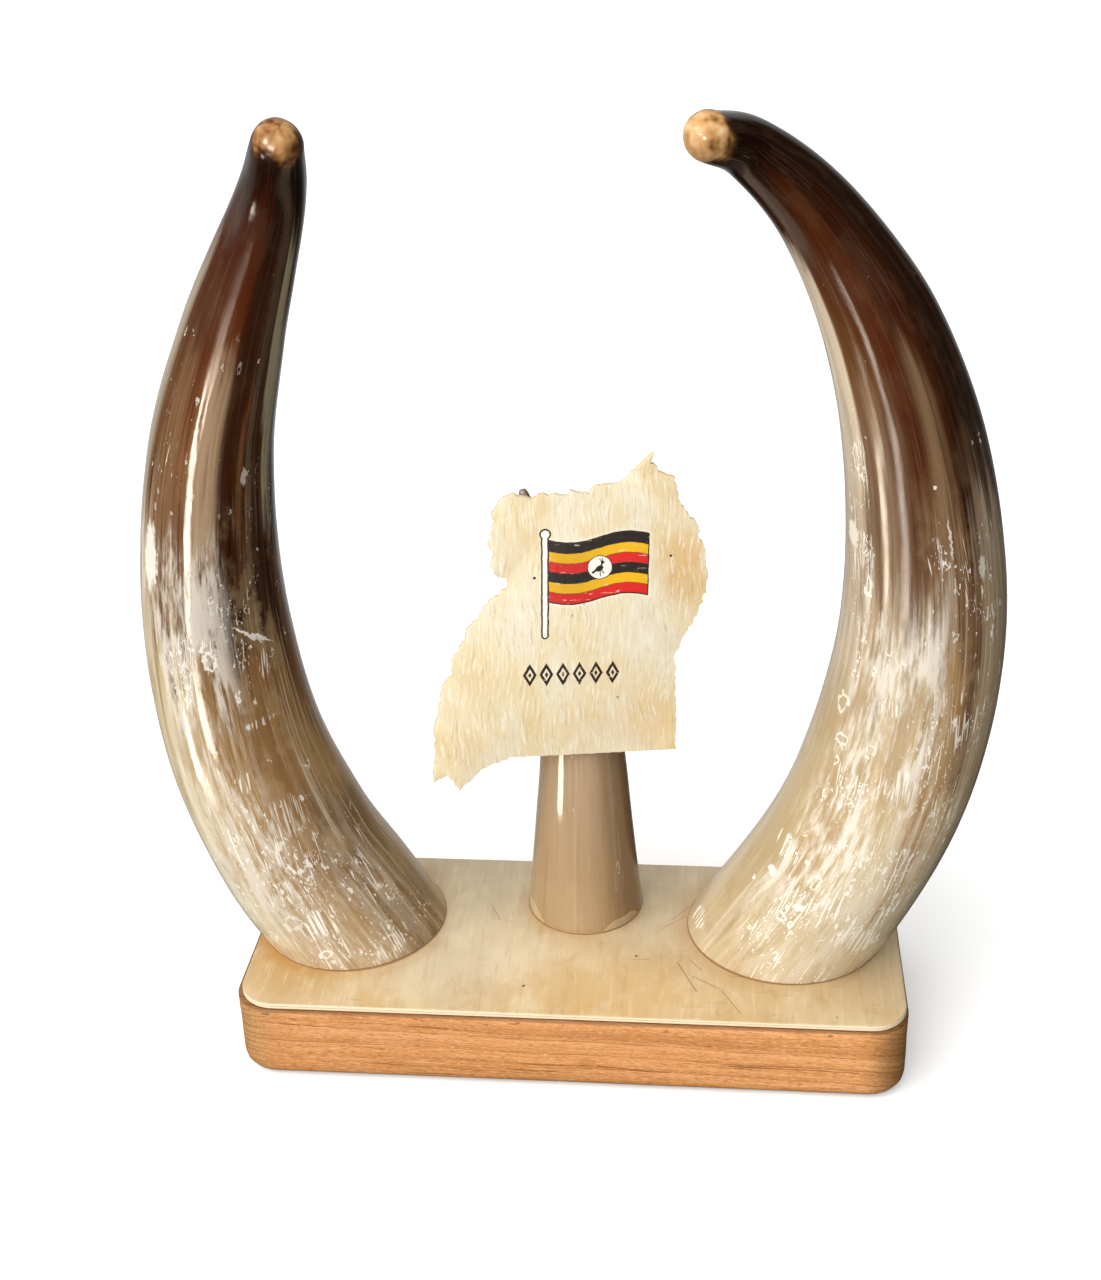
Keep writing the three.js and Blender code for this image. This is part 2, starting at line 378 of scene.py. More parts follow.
def hornTree(relief):
    tree = bpy.data.node_groups.new("horn surface", "GeometryNodeTree")
    sockets = {}
    inputs = (
        ("Centre Line", "Geometry"), ("Rings", "Int"), ("Sides", "Int"), ("Saw Cut", "Float"),
        ("Lump Depth", "Float"), ("Scrape Depth", "Float"), ("Seed", "Int"), ("Finish", "Material"),
    )
    for name, kind in inputs:
        socket = tree.interface.new_socket(name, in_out="INPUT", socket_type="NodeSocket" + kind)
        sockets[name] = socket.identifier
    tree.interface.new_socket("Horn", in_out="OUTPUT", socket_type="NodeSocketGeometry")
    given = tree.nodes.new("NodeGroupInput").outputs

    line = addNode(tree, "GeometryNodeMeshToCurve", {"Mesh": given["Centre Line"]}).outputs["Curve"]
    length = addNode(tree, "GeometryNodeCurveLength", {"Curve": line}).outputs["Length"]
    girth = namedVector(tree, "girth")

    # A grid is the tube unrolled: row 0 is the middle of the foot, row 1 its rim, the last the tip
    grid = addNode(tree, "GeometryNodeMeshGrid", {
        "Size X": 1.0, "Size Y": 1.0,
        "Vertices X": addUp(tree, given["Rings"], 1),
        "Vertices Y": addUp(tree, given["Sides"], 1),
    }).outputs["Mesh"]
    gridX, gridY = split(tree, addNode(tree, "GeometryNodeInputPosition").outputs[0])[:2]
    row = calc(tree, "ROUND", multiply(tree, addUp(tree, gridX, 0.5), given["Rings"]))
    widen = calc(tree, "MINIMUM", row, 1.0)
    upward = divide(tree, subtract(tree, row, 1.0), subtract(tree, given["Rings"], 1.0), clamp=True)
    # Rings draw together towards the tip, so that its dome is round
    closing = calc(tree, "SINE", multiply(tree, upward, math.pi / 2))
    angle = multiply(tree, addUp(tree, gridY, 0.5), 2 * math.pi)
    cosine = calc(tree, "COSINE", angle)
    sine = calc(tree, "SINE", angle)

    def surfaceAt(along):
        feeds = {"Curves": line, "Value": girth, "Factor": along}
        settings = {"data_type": "FLOAT_VECTOR", "mode": "FACTOR"}
        sample = addNode(tree, "GeometryNodeSampleCurve", feeds, **settings).outputs
        forward = sample["Tangent"]
        away = (0.0, 1.0, 0.0)
        leaning = vectorCalc(tree, "SCALE", forward, vectorCalc(tree, "DOT_PRODUCT", forward, away))
        back = vectorCalc(tree, "NORMALIZE", vectorCalc(tree, "SUBTRACT", away, leaning))
        right = vectorCalc(tree, "CROSS_PRODUCT", back, forward)
        across, deep = split(tree, sample["Value"])[:2]
        sideways = vectorCalc(tree, "SCALE", right, multiply(tree, cosine, across, widen))
        inwards = vectorCalc(tree, "SCALE", back, multiply(tree, sine, deep, widen))
        place = vectorCalc(tree, "ADD", sample["Position"], vectorCalc(tree, "ADD", sideways, inwards))
        return place, forward

    # Each line of the surface starts where it meets the saw cut. A few steps find that place.
    start = 0.0
    for step in range(relief["startSteps"]):
        place, forward = surfaceAt(start)
        missing = subtract(tree, given["Saw Cut"], split(tree, place)[2])
        climb = multiply(tree, split(tree, forward)[2], length)
        start = addUp(tree, start, divide(tree, missing, climb))
    along = addUp(tree, start, multiply(tree, subtract(tree, 1.0, start), closing))
    surface = surfaceAt(along)[0]

    fibre = join(
        tree, multiply(tree, cosine, fibreRadius * mm), multiply(tree, sine, fibreRadius * mm),
        multiply(tree, along, length))
    mapped = addNode(tree, "GeometryNodeStoreNamedAttribute", {
        "Geometry": grid, "Name": "fibre", "Value": fibre}, data_type="FLOAT_VECTOR", domain="POINT")
    rolled = addNode(tree, "GeometryNodeSetPosition", {"Geometry": mapped.outputs[0], "Position": surface})
    closed = addNode(tree, "GeometryNodeMergeByDistance", {
        "Geometry": rolled.outputs[0], "Distance": relief["seam"] * mm})

    # Shallow lumps and long scraped flats, none of them standing proud or reaching the foot
    shift = multiply(tree, given["Seed"], relief["seedShift"])
    moved = vectorCalc(tree, "ADD", namedVector(tree, "fibre"), join(tree, shift, shift, shift))
    lumps = noiseAt(tree, moved, *relief["lumps"])
    scrapes = noiseAt(tree, moved, *relief["scrapes"], squash=relief["scrapeSquash"])
    heightNow = split(tree, addNode(tree, "GeometryNodeInputPosition").outputs[0])[2]
    climbed = subtract(tree, heightNow, given["Saw Cut"])
    aboveFoot = divide(tree, climbed, relief["evenFoot"] * mm, clamp=True)
    lowered = addUp(
        tree, multiply(tree, lumps, given["Lump Depth"]), multiply(tree, scrapes, given["Scrape Depth"]))
    inward = multiply(tree, lowered, aboveFoot, -1.0)
    outward = addNode(tree, "GeometryNodeInputNormal").outputs["Normal"]
    worn = addNode(tree, "GeometryNodeSetPosition", {
        "Geometry": closed.outputs[0], "Offset": vectorCalc(tree, "SCALE", outward, inward)})
    smooth = addNode(tree, "GeometryNodeSetShadeSmooth", {"Geometry": worn.outputs[0]})
    real = addNode(tree, "GeometryNodeRealizeInstances", {"Geometry": smooth.outputs[0]})
    finished = addNode(tree, "GeometryNodeSetMaterial", {
        "Geometry": real.outputs[0], "Material": given["Finish"]})
    tree.links.new(finished.outputs[0], tree.nodes.new("NodeGroupOutput").inputs[0])
    return tree, sockets


def plainCopy(source, name):
    # The piece as its modifiers leave it, as one plain mesh
    evaluated = source.evaluated_get(bpy.context.evaluated_depsgraph_get())
    mesh = bpy.data.meshes.new_from_object(evaluated)
    mesh.name = name
    bpy.data.objects.remove(source)
    return addObject(name, mesh)


def makeHorn(name, horn, material, tree, sockets):
    source = centreLine(name + "_line", horn)
    modifier = source.modifiers.new("horn surface", "NODES")
    modifier.node_group = tree
    values = {
        "Rings": horn["rings"], "Sides": horn["sides"], "Saw Cut": sawCut * mm,
        "Lump Depth": horn["lumps"] * mm, "Scrape Depth": horn["scrapes"] * mm,
        "Seed": horn["seed"], "Finish": material,
    }
    for key, value in values.items():
        modifier[sockets[key]] = value
    piece = plainCopy(source, name)
    piece.data.set_sharp_from_angle(angle=math.radians(50))
    return piece


# Horn finish

# Places on a horn are degrees round it, where 0 is the viewer's right and -90 the front, and distances
# along it. In the bands each colour stands at its distance. The rows below them hold
#   streaks: degrees, half width in degrees, the share of it at full strength, start, end, colour, strength
#   frost, flecks, rings: zones with degrees, half width in degrees, start, end, softness, strength
#   marks that stand out: kind, degrees, distance, half width, half length, tilt, strength

leftLook = {
    "bands": (
        (25, "bda681"), (55, "dfd0b0"), (80, "e4d6b8"), (108, "d3c09c"), (145, "c8b48f"), (172, "a58f70"),
        (198, "795b42"), (250, "614129"), (285, "50301b"), (320, "43200f"), (352, "240d04"),
    ),
    # shadeBands: painted shade, the bands as they look on the side turned from the light, which faces
    # shadeTowards
    "shadeBands": (
        (25, "b0946c"), (60, "a18055"), (105, "9f7c4c"), (145, "7f5d37"), (172, "634730"), (200, "6b4a31"),
        (248, "86552f"), (280, "5f2c0f"), (320, "461a06"), (352, "1f0a03"),
    ),
    "shadeTowards": -30,
    "tip": 361.5,
    "slant": -8,
    "goldTowards": -100,
    "goldDepth": 0.09,
    "roughness": (0.08, 0.2),  # in the lower part and near the tip
    "streaks": (
        (-150, 22, 0, 140, 205, "cfc0a0", 0.6),
        (-158, 20, 0.3, 228, 295, "ab9a85", 0.7),
        (-80, 18, 0.4, 195, 262, "b39a7c", 0.75),
        (-118, 12, 0, 160, 270, "7c5a3c", 0.6),
        (-42, 32, 0.7, 166, 330, "2f1709", 0.9),
        (-58, 12, 0.3, 185, 300, "3c1e0d", 0.8),
        (-22, 9, 0.6, 270, 322, "b5a888", 0.95),
        (-15, 10, 0.6, 226, 284, "b8ac90", 0.95),
        # painted shade: the right edge, turned from the light, darkened
        (6, 18, 0.7, 210, 345, "1f0f08", 0.95),
        (-44, 34, 0, 60, 145, "866340", 0.7),
        # painted shade low on the right side, turned from the light
        (-20, 36, 0.2, 10, 75, "6f5638", 0.8),
        # a faint grey painted sheen on the left of the neck below the tip
        (-130, 22, 0, 338, 358, "8d8681", 0.15),
    ),
    "frost": (
        (-98, 42, 146, 188, 20, 0.8),
        (-102, 44, 62, 112, 20, 0.7),
        (-136, 36, 178, 198, 12, 0.6),
        (-90, 100, 15, 70, 30, 0.25),
        (95, 90, 110, 170, 30, 0.6),
    ),
    "flecks": (
        (-82, 48, 140, 178, 12, 0.85),
        (-75, 95, 18, 85, 22, 0.85),
        (-110, 60, 85, 260, 20, 0.45),
        (-25, 30, 170, 235, 15, 0.6),
        (90, 100, 20, 200, 30, 0.75),
    ),
    "rings": (
        (100, 80, 30, 210, 25, 0.35),
        (-95, 70, 190, 290, 15, 0.2),
        (-50, 45, 95, 190, 15, 0.4),
        (-80, 90, 15, 80, 15, 0.3),
    ),
    "marks": (
        ("blot", -131, 195, 5, 14, 0, 0.85),
        ("ring", -80, 158, 2.6, 4.2, 0, 0.8),
        ("blot", -49, 166, 0.6, 9, 48, 0.8),
        ("blot", -42, 164, 0.7, 11, 56, 0.85),
        ("ring", -100, 152, 2, 6, 0, 0.7),
        ("hatch", -40, 151, 2.5, 7, 0, 0.8),
        ("hatch", -52, 129, 7, 2, 0, 0.7),
        ("hatch", -76, 108, 4, 4, 0, 0.8),
        ("blot", -73, 79, 2.4, 1.6, 30, 0.6),
        ("hatch", -58, 88, 8, 9, 0, 0.55),
        ("ring", -94, 50, 4, 3.4, 20, 0.5),
        ("hatch", -76, 44, 9, 7, 0, 0.9),
        ("ring", -88, 32, 2.8, 2.2, 0, 0.9),
        ("hatch", -48, 19, 8, 5, 0, 0.8),
        ("blot", -44, 232, 1.4, 4, 0, 0.5),
    ),
    "seed": 1.3,
}

rightLook = {
    "bands": (
        (25, "bda883"), (60, "af9a74"), (100, "b7a17b"), (140, "b09e80"), (172, "b3a28b"), (195, "755a43"),
        (235, "735540"), (275, "66401f"), (310, "4f2a12"), (340, "351607"), (368, "220b04"),
    ),
    # shadeBands: painted shade, the bands as they look on the side turned from the light, which faces
    # shadeTowards
    "shadeBands": (
        (25, "c2ae8a"), (60, "cab794"), (105, "c4a97f"), (142, "a88f6e"), (170, "846a50"), (192, "6c4d35"),
        (235, "4d301b"), (285, "3c1806"), (330, "2c1004"), (368, "1a0703"),
    ),
    "shadeTowards": -30,
    "tip": 379,
    "slant": 7,
    "goldTowards": -140,
    "goldDepth": -0.03,
    "roughness": (0.16, 0.13),
    "streaks": (
        (-153, 18, 0.7, 235, 303, "d8c6ab", 1.0),
        (-158, 24, 0.3, 165, 245, "c6b49b", 0.8),
        (-98, 20, 0.4, 228, 335, "4e2208", 0.75),
        (-120, 12, 0, 185, 262, "a38a6c", 0.5),
        (-74, 11, 0.3, 200, 262, "8f7253", 0.55),
        (-104, 14, 0.3, 178, 250, "4f2f1b", 0.5),
        (-12, 42, 0.8, 190, 250, "45352a", 0.85),
        (-14, 44, 0.85, 250, 352, "20120a", 0.9),
        (-55, 10, 0.3, 200, 310, "2e1407", 0.8),
        (-60, 16, 0, 130, 190, "6f4e33", 0.8),
        (-72, 12, 0.2, 88, 145, "9c7342", 0.9),
        (-134, 12, 0, 80, 175, "a98358", 0.35),
        (-26, 34, 0.3, 75, 200, "b3a084", 0.7),
        (-128, 16, 0, 330, 366, "6d5b52", 0.5),
    ),
    "frost": (
        (-104, 32, 100, 160, 28, 0.85),
        (-132, 16, 150, 186, 14, 0.8),
        (-122, 34, 66, 112, 20, 0.9),
        (-95, 70, 20, 95, 25, 0.4),
        (85, 90, 110, 175, 30, 0.6),
    ),
    "flecks": (
        (-92, 65, 20, 110, 18, 0.95),
        (-66, 42, 95, 205, 20, 0.8),
        (-146, 16, 165, 262, 10, 0.9),
        (90, 100, 20, 210, 30, 0.75),
    ),
    "rings": (
        (80, 80, 30, 210, 25, 0.35),
        (-132, 36, 95, 165, 10, 0.7),
        (-105, 70, 30, 85, 12, 0.6),
        (-148, 20, 160, 250, 10, 0.6),
        (-50, 50, 60, 230, 15, 0.3),
    ),
    "marks": (
        ("ring", -122, 46, 2.2, 2.2, 0, 0.95),
        ("blot", -146, 56, 2.2, 2, 0, 0.95),
        ("blot", -117, 54, 2.4, 1.5, 40, 0.9),
        ("ring", -117, 67, 2.2, 3.2, 0, 0.6),
        ("hatch", -68, 54, 7, 6, 0, 0.75),
        ("hatch", -170, 12, 6, 4, 0, 0.8),
        ("hatch", -147, 69, 7, 5, 0, 0.85),
        ("ring", -147, 138, 2.8, 4.4, 0, 0.7),
        ("ring", -140, 124, 2.6, 2.4, 0, 0.8),
        ("hatch", -112, 144, 4, 4, 0, 0.7),
        ("hatch", -93, 116, 6, 7, 0, 0.8),
        ("ring", -146, 240, 2, 6, 0, 0.95),
        ("blot", -158, 208, 4.5, 6, 0, 0.85),
        ("ring", -138, 190, 1.6, 4.5, 0, 0.9),
        ("blot", -75, 209, 0.6, 9, 0, 0.6),
        ("blot", -51, 196, 2, 5, 0, 0.5),
    ),
    "seed": 7.1,
}


# What both horns share. A tint's row is a pattern, the values where it starts and is full, its strength
# and its colour. A stretch is where a change starts and ends along the horn, then its two strengths.

hornFinish = {
    "noises": {  # scale, squeeze along the fibres, detail and roughness
        "broad": (50.0, 0.2),
        "medium": (210.0, 0.045),
        "fine": (700.0, 0.02, 4.0, 0.7),
        "cloud": (85.0, 0.6, 4.0, 0.62),
        "grain": (520.0, 0.14, 4.0, 0.72),
        "milky": (120.0, 0.22, 4.0, 0.66),
        "blots": (480.0, 0.38),
        "specks": (1300.0, 0.4, 1.0),
        "threads": (620.0, 0.035),
    },
    "hatching": (1150.0, 0.045, 1.0),  # the same, on fibres that are turned aslant
    "cluster": (48.0, 2.0, 0.6),  # scale, detail and roughness
    "fraying": {"broad": 60.0, "medium": 75.0, "fine": 30.0, "cloud": 26.0},  # of the bands, in millimetres
    "frayingStretch": (230.0, 300.0, 1.0, 0.3),
    "shadeFraying": 0.4,
    "shadeEdge": (-0.1, 0.65),  # 1 is the line of the horn that lies deepest in shade
    "streakSoft": 24,
    "streakGaps": (0.26, 0.5),
    "darkStretches": ((80.0, 180.0, 0.1, 1.0), (220.0, 290.0, 1.0, 0.1)),
    "darkTints": (("medium", 0.52, 0.7, 0.55, "8a6c50"), ("fine", 0.53, 0.64, 0.4, "5f4126")),
    "paleStretch": (140.0, 250.0, 1.0, 0.08),
    "paleTints": (("fine", 0.46, 0.36, 0.32, "e6dac0"), ("cloud", 0.48, 0.64, 0.5, "a98e68")),
    "frost": (0.8, "ebe3d5"),  # strength and colour
    "frostGrain": 0.8,
    "frostEdge": (0.78, 1.04),
    # Fine marks: the noise's values where they start and are full, and their strength
    "marks": {
        "blots": (0.69, 0.73, 0.75),
        "specks": (0.72, 0.76, 0.7),
        "threads": (0.68, 0.75, 0.6),
        "hatching": (0.71, 0.77, 0.7),
    },
    # What is added to those noises everywhere, in the zones, and where a cluster is sparse
    "crowd": {"bare": -0.08, "zones": 0.19, "sparse": -0.1, "sparseEdge": (0.58, 0.4)},
    "hatchEdge": (0.48, 0.58),
    "ringStrength": 0.8,
    "placedStrength": 0.9,
    "markColour": "f4eee2",
    "polishStretch": (255.0, 295.0),
    "roughSpots": (0.4, 0.7, 0.0, 0.06),
    "roughMarks": 0.2,
    "roughFrost": 0.2,
    "roughGold": 0.08,
    "grooves": {"stretch": (180.0, 270.0, 1.0, 0.12), "fine": 0.35, "medium": 0.8, "cut": 0.3, "cloud": 0.8},
    "reliefDepth": 0.16,
}

goldFinish = {
    "mottle": (160.0, 2.0, 0.55),  # scale, detail and roughness
    "contrast": 0.7,
    "level": 0.17,
    "fraying": 9.0,
    "lean": 1.5,
    "fadeIn": (-4.0, 2.0),  # distances from where the tip's gold starts
    "rim": (5.0, -1.0),
    "rimShade": 0.24,
    "tones": (
        (0.2, "3a2010"), (0.3, "6a4322"), (0.4, "a0703f"), (0.5, "c69660"), (0.6, "dbb07c"), (0.7, "e8c697"),
    ),
}

scraperRings = {
    "bend": (300.0, 5.0),  # scale, and reach in millimetres
    "cells": 230.0,
    "squash": (1.0, 1.0, 0.5),
    "share": 0.62,
    "radius": (0.2, 0.1),  # how much it varies, and the least, as shares of a cell
    "line": (0.07, 0.03),
    "breaks": (420.0, 1.0),  # scale and detail
    "breakEdge": (0.4, 0.5),
    "paleness": (0.5, 0.5),
}

placedShape = {
    "bend": (400.0, 4.0),
    "fraying": 1.3,
    "ring": 0.8,  # the ring's line as a share of the mark's size
    "ringLine": (0.24, 0.08),
    "edge": (1.05, 0.7),
}

glueLine = {"top": 0.5, "full": 0.2, "finish": (0.6, "9a6f3e")}  # heights above the saw cut


def fibreMap(tree):
    return addNode(tree, "ShaderNodeAttribute", attribute_name="fibre").outputs["Vector"]


def towards(tree, fibre, degrees):
    # 1 along the line of the horn that looks this way, -1 on its far side
    direction = Vector((math.cos(math.radians(degrees)), math.sin(math.radians(degrees)), 0))
    return vectorCalc(tree, "DOT_PRODUCT", fibre, tuple(direction / (fibreRadius * mm)))


def bandTowards(tree, fibre, degrees, width, full=0.0):
    # The band keeps its full strength over this share of its width
    reach = math.radians(width)
    return fade(tree, towards(tree, fibre, degrees), math.cos(reach), math.cos(reach * full))


def streakNoise(tree, fibre, scale, squeeze, detail=3.0, roughness=0.6):
    return noiseAt(tree, fibre, scale, detail, roughness, squash=(1.0, 1.0, squeeze))


def zoneMask(tree, fibre, alongHorn, zones):
    total = 0.0
    for degrees, width, start, end, soft, amount in zones:
        reach = between(tree, alongHorn, start, end, soft)
        band = bandTowards(tree, fibre, degrees, width, 0.5)
        total = largest(tree, total, multiply(tree, reach, band, amount))
    return total


def twisted(tree, fibre, slant):
    # The fibres' map turned about the horn's length, so that long marks run aslant by this many degrees
    turn = multiply(tree, split(tree, fibre)[2], math.tan(math.radians(slant)) / (fibreRadius * mm))
    feeds = {"Vector": fibre, "Angle": turn}
    return addNode(tree, "ShaderNodeVectorRotate", feeds, rotation_type="Z_AXIS").outputs[0]


def wandering(tree, fibre, scale, reach):
    # The fibres' map pushed about by up to half the reach, so that outlines on it are uneven
    feeds = {"Vector": fibre, "Scale": scale, "Detail": 2.0}
    push = addNode(tree, "ShaderNodeTexNoise", feeds).outputs["Color"]
    centred = vectorCalc(tree, "SUBTRACT", push, (0.5, 0.5, 0.5))
    return vectorCalc(tree, "ADD", fibre, vectorCalc(tree, "SCALE", centred, reach * mm))


def ringMarks(tree, fibre, zone):
    # Small pale rings, commas and dots left by the scraper
    look = scraperRings
    bent = wandering(tree, fibre, *look["bend"])
    cells = cellsAt(tree, vectorCalc(tree, "MULTIPLY", bent, look["squash"]), look["cells"])
    chance, size, paleness = split(tree, cells["Color"])
    kept = fade(tree, addUp(tree, chance, multiply(tree, zone, look["share"])), 1.0, 1.02)
    radius = calc(tree, "MULTIPLY_ADD", size, *look["radius"])
    toRing = calc(tree, "ABSOLUTE", subtract(tree, cells["Distance"], radius))
    ring = fade(tree, toRing, *look["line"])
    broken = fade(tree, noiseAt(tree, fibre, *look["breaks"]), *look["breakEdge"])
    return multiply(tree, ring, broken, kept, calc(tree, "MULTIPLY_ADD", paleness, *look["paleness"]))


def placedMarks(tree, fibre, grain, hatching, marks):
    bent = wandering(tree, fibre, *placedShape["bend"])
    ragged = swing(tree, grain, placedShape["fraying"])  # the grain frays the marks' outlines
    total = 0.0
    for kind, degrees, distance, halfWidth, halfLength, tilt, strength in marks:
        turn = math.radians(degrees)
        middle = Vector((fibreRadius * math.cos(turn), fibreRadius * math.sin(turn), distance)) * mm
        # Seen from the mark's own middle: outward, across it and along it
        local = addNode(tree, "ShaderNodeVectorRotate", {
            "Vector": vectorCalc(tree, "SUBTRACT", bent, tuple(middle)),
            "Rotation": (math.radians(tilt), 0.0, turn),
        }, rotation_type="EULER_XYZ", invert=True).outputs[0]
        reach = (fibreRadius * mm, halfWidth * mm, halfLength * mm)
        far = addUp(tree, vectorCalc(tree, "LENGTH", vectorCalc(tree, "DIVIDE", local, reach)), ragged)
        if kind == "ring":
            toRing = calc(tree, "ABSOLUTE", subtract(tree, far, placedShape["ring"]))
            shape = fade(tree, toRing, *placedShape["ringLine"])
        else:
            shape = fade(tree, far, *placedShape["edge"])
        if kind == "hatch":
            shape = multiply(tree, shape, hatching)
        total = largest(tree, total, multiply(tree, shape, strength))
    return total


def hornColour(tree, fibre, alongHorn, patterns, look):
    # Colour bands along the horn, drawn out into streaks by the fibres, less and less towards the tip
    frays = hornFinish["fraying"]
    lessening = fade(tree, alongHorn, *hornFinish["frayingStretch"])
    uneven = addUp(
        tree, alongHorn, swing(tree, patterns["broad"], frays["broad"]),
        swing(tree, patterns["medium"], lessening, frays["medium"]),
        swing(tree, patterns["fine"], lessening, frays["fine"]),
        swing(tree, patterns["cloud"], frays["cloud"]))
    # Painted shade: the side of the horn turned from the light takes the darker shadeBands
    shadeSway = swing(tree, patterns["medium"], hornFinish["shadeFraying"])
    turned = addUp(tree, towards(tree, fibre, look["shadeTowards"]), shadeSway)
    shade = fade(tree, turned, *hornFinish["shadeEdge"])
    base = mix(tree, shade, ramp(tree, uneven, look["bands"]), ramp(tree, uneven, look["shadeBands"]))
    gaps = fade(tree, patterns["medium"], *hornFinish["streakGaps"])
    for degrees, width, full, start, end, code, amount in look["streaks"]:
        reach = between(tree, uneven, start, end, hornFinish["streakSoft"])
        band = bandTowards(tree, fibre, degrees, width, full)
        base = mix(tree, multiply(tree, band, reach, gaps, amount), base, code)

    # Dark fibres fill the horn's middle, pale ones its lower half
    dark = multiply(tree, *(fade(tree, alongHorn, *stretch) for stretch in hornFinish["darkStretches"]))
    pale = fade(tree, alongHorn, *hornFinish["paleStretch"])
    base = tinted(tree, base, patterns, hornFinish["darkTints"], dark, "MULTIPLY")
    base = tinted(tree, base, patterns, hornFinish["paleTints"], pale)
    return base, uneven


def hornMarks(tree, fibre, shifted, alongHorn, patterns, look):
    # Pale flecks, threads and scratches in clusters, the scraper's rings and the marks placed one by one
    crowding = hornFinish["crowd"]
    sparse = fade(tree, patterns["cluster"], *crowding["sparseEdge"])
    crowd = addUp(
        tree, crowding["bare"],
        multiply(tree, zoneMask(tree, fibre, alongHorn, look["flecks"]), crowding["zones"]),
        multiply(tree, sparse, crowding["sparse"]))
    masks = {}
    shown = []
    for name, (start, full, strength) in hornFinish["marks"].items():
        masks[name] = fade(tree, addUp(tree, patterns[name], crowd), start, full)
        shown.append(multiply(tree, masks[name], strength))
    rings = ringMarks(tree, shifted, zoneMask(tree, fibre, alongHorn, look["rings"]))
    shown.append(multiply(tree, rings, hornFinish["ringStrength"]))
    hatching = fade(tree, patterns["hatching"], *hornFinish["hatchEdge"])
    placed = placedMarks(tree, fibre, patterns["grain"], hatching, look["marks"])
    shown.append(multiply(tree, placed, hornFinish["placedStrength"]))
    return largest(tree, *shown), largest(tree, masks["blots"], masks["threads"])


def goldTip(tree, fibre, alongHorn, place, look):
    # The tip turns softly to mottled gold, further down in front, and darkest where the gold begins
    mottle = noiseAt(tree, place, *goldFinish["mottle"])
    leaning = multiply(tree, towards(tree, fibre, look["goldTowards"]), goldFinish["lean"])
    edge = addUp(tree, alongHorn, swing(tree, mottle, goldFinish["fraying"]), leaning)
    start, end = (look["tip"] + distance for distance in goldFinish["rim"])
    rim = fade(tree, edge, start, end, look["goldDepth"], look["goldDepth"] + goldFinish["rimShade"])
    level = calc(tree, "MULTIPLY_ADD", mottle, goldFinish["contrast"], goldFinish["level"])
    gold = ramp(tree, subtract(tree, level, rim), goldFinish["tones"])
    golden = fade(tree, edge, *(look["tip"] + distance for distance in goldFinish["fadeIn"]))
    return golden, gold


def glueAtFoot(tree, base, place):
    top, full = (sawCut + glueLine["top"]) * mm, (sawCut + glueLine["full"]) * mm
    return stained(tree, base, fade(tree, split(tree, place)[2], top, full), glueLine["finish"])


def hornMaterial(name, look):
    material, tree, shader = newMaterial(name, **{"IOR": 1.52, "Specular IOR Level": 0.38})
    fibre = fibreMap(tree)
    place = objectPlace(tree)
    alongHorn = divide(tree, split(tree, fibre)[2], mm)
    shifted = vectorCalc(tree, "ADD", fibre, (0.0, 0.0, look["seed"]))
    patterns = {key: streakNoise(tree, shifted, *row) for key, row in hornFinish["noises"].items()}
    patterns["hatching"] = streakNoise(tree, twisted(tree, shifted, look["slant"]), *hornFinish["hatching"])
    patterns["cluster"] = noiseAt(tree, shifted, *hornFinish["cluster"])
    base, uneven = hornColour(tree, fibre, alongHorn, patterns, look)

    # Milky, frosted streaks with a scratched grain
    scratchy = addUp(tree, patterns["milky"], multiply(tree, patterns["grain"], hornFinish["frostGrain"]))
    zones = zoneMask(tree, fibre, uneven, look["frost"])
    frost = multiply(tree, zones, fade(tree, scratchy, *hornFinish["frostEdge"]))
    base = stained(tree, base, frost, hornFinish["frost"])

    marks, cuts = hornMarks(tree, fibre, shifted, alongHorn, patterns, look)
    base = mix(tree, marks, base, hornFinish["markColour"])
    golden, gold = goldTip(tree, fibre, alongHorn, place, look)
    base = glueAtFoot(tree, mix(tree, golden, base, gold), place)
    rough = addUp(
        tree, fade(tree, alongHorn, *hornFinish["polishStretch"], *look["roughness"]),
        fade(tree, patterns["cluster"], *hornFinish["roughSpots"]),
        multiply(tree, marks, hornFinish["roughMarks"]), multiply(tree, frost, hornFinish["roughFrost"]),
        multiply(tree, golden, hornFinish["roughGold"]))
    # Scraping left shallow waves along the fibres, which break up what the polish mirrors
    grooves = hornFinish["grooves"]
    grooved = fade(tree, alongHorn, *grooves["stretch"])
    relief = addUp(
        tree, multiply(tree, patterns["fine"], grooved, grooves["fine"]),
        multiply(tree, patterns["medium"], grooved, grooves["medium"]),
        multiply(tree, cuts, grooves["cut"]), multiply(tree, patterns["cloud"], grooves["cloud"]),
        patterns["broad"])
    dressSurface(tree, shader, base, rough, relief, hornFinish["reliefDepth"])
    return material


tree, sockets = hornTree(hornRelief)
leftPiece = makeHorn("left_horn", leftHorn, hornMaterial("left horn", leftLook), tree, sockets)
rightPiece = makeHorn("right_horn", rightHorn, hornMaterial("right horn", rightLook), tree, sockets)
print("horns made")


# The plaque stands on the pedestal's filed front. Its outline is seen from the front, and the
# point 0, 0 is where its lower edge crosses the pedestal.

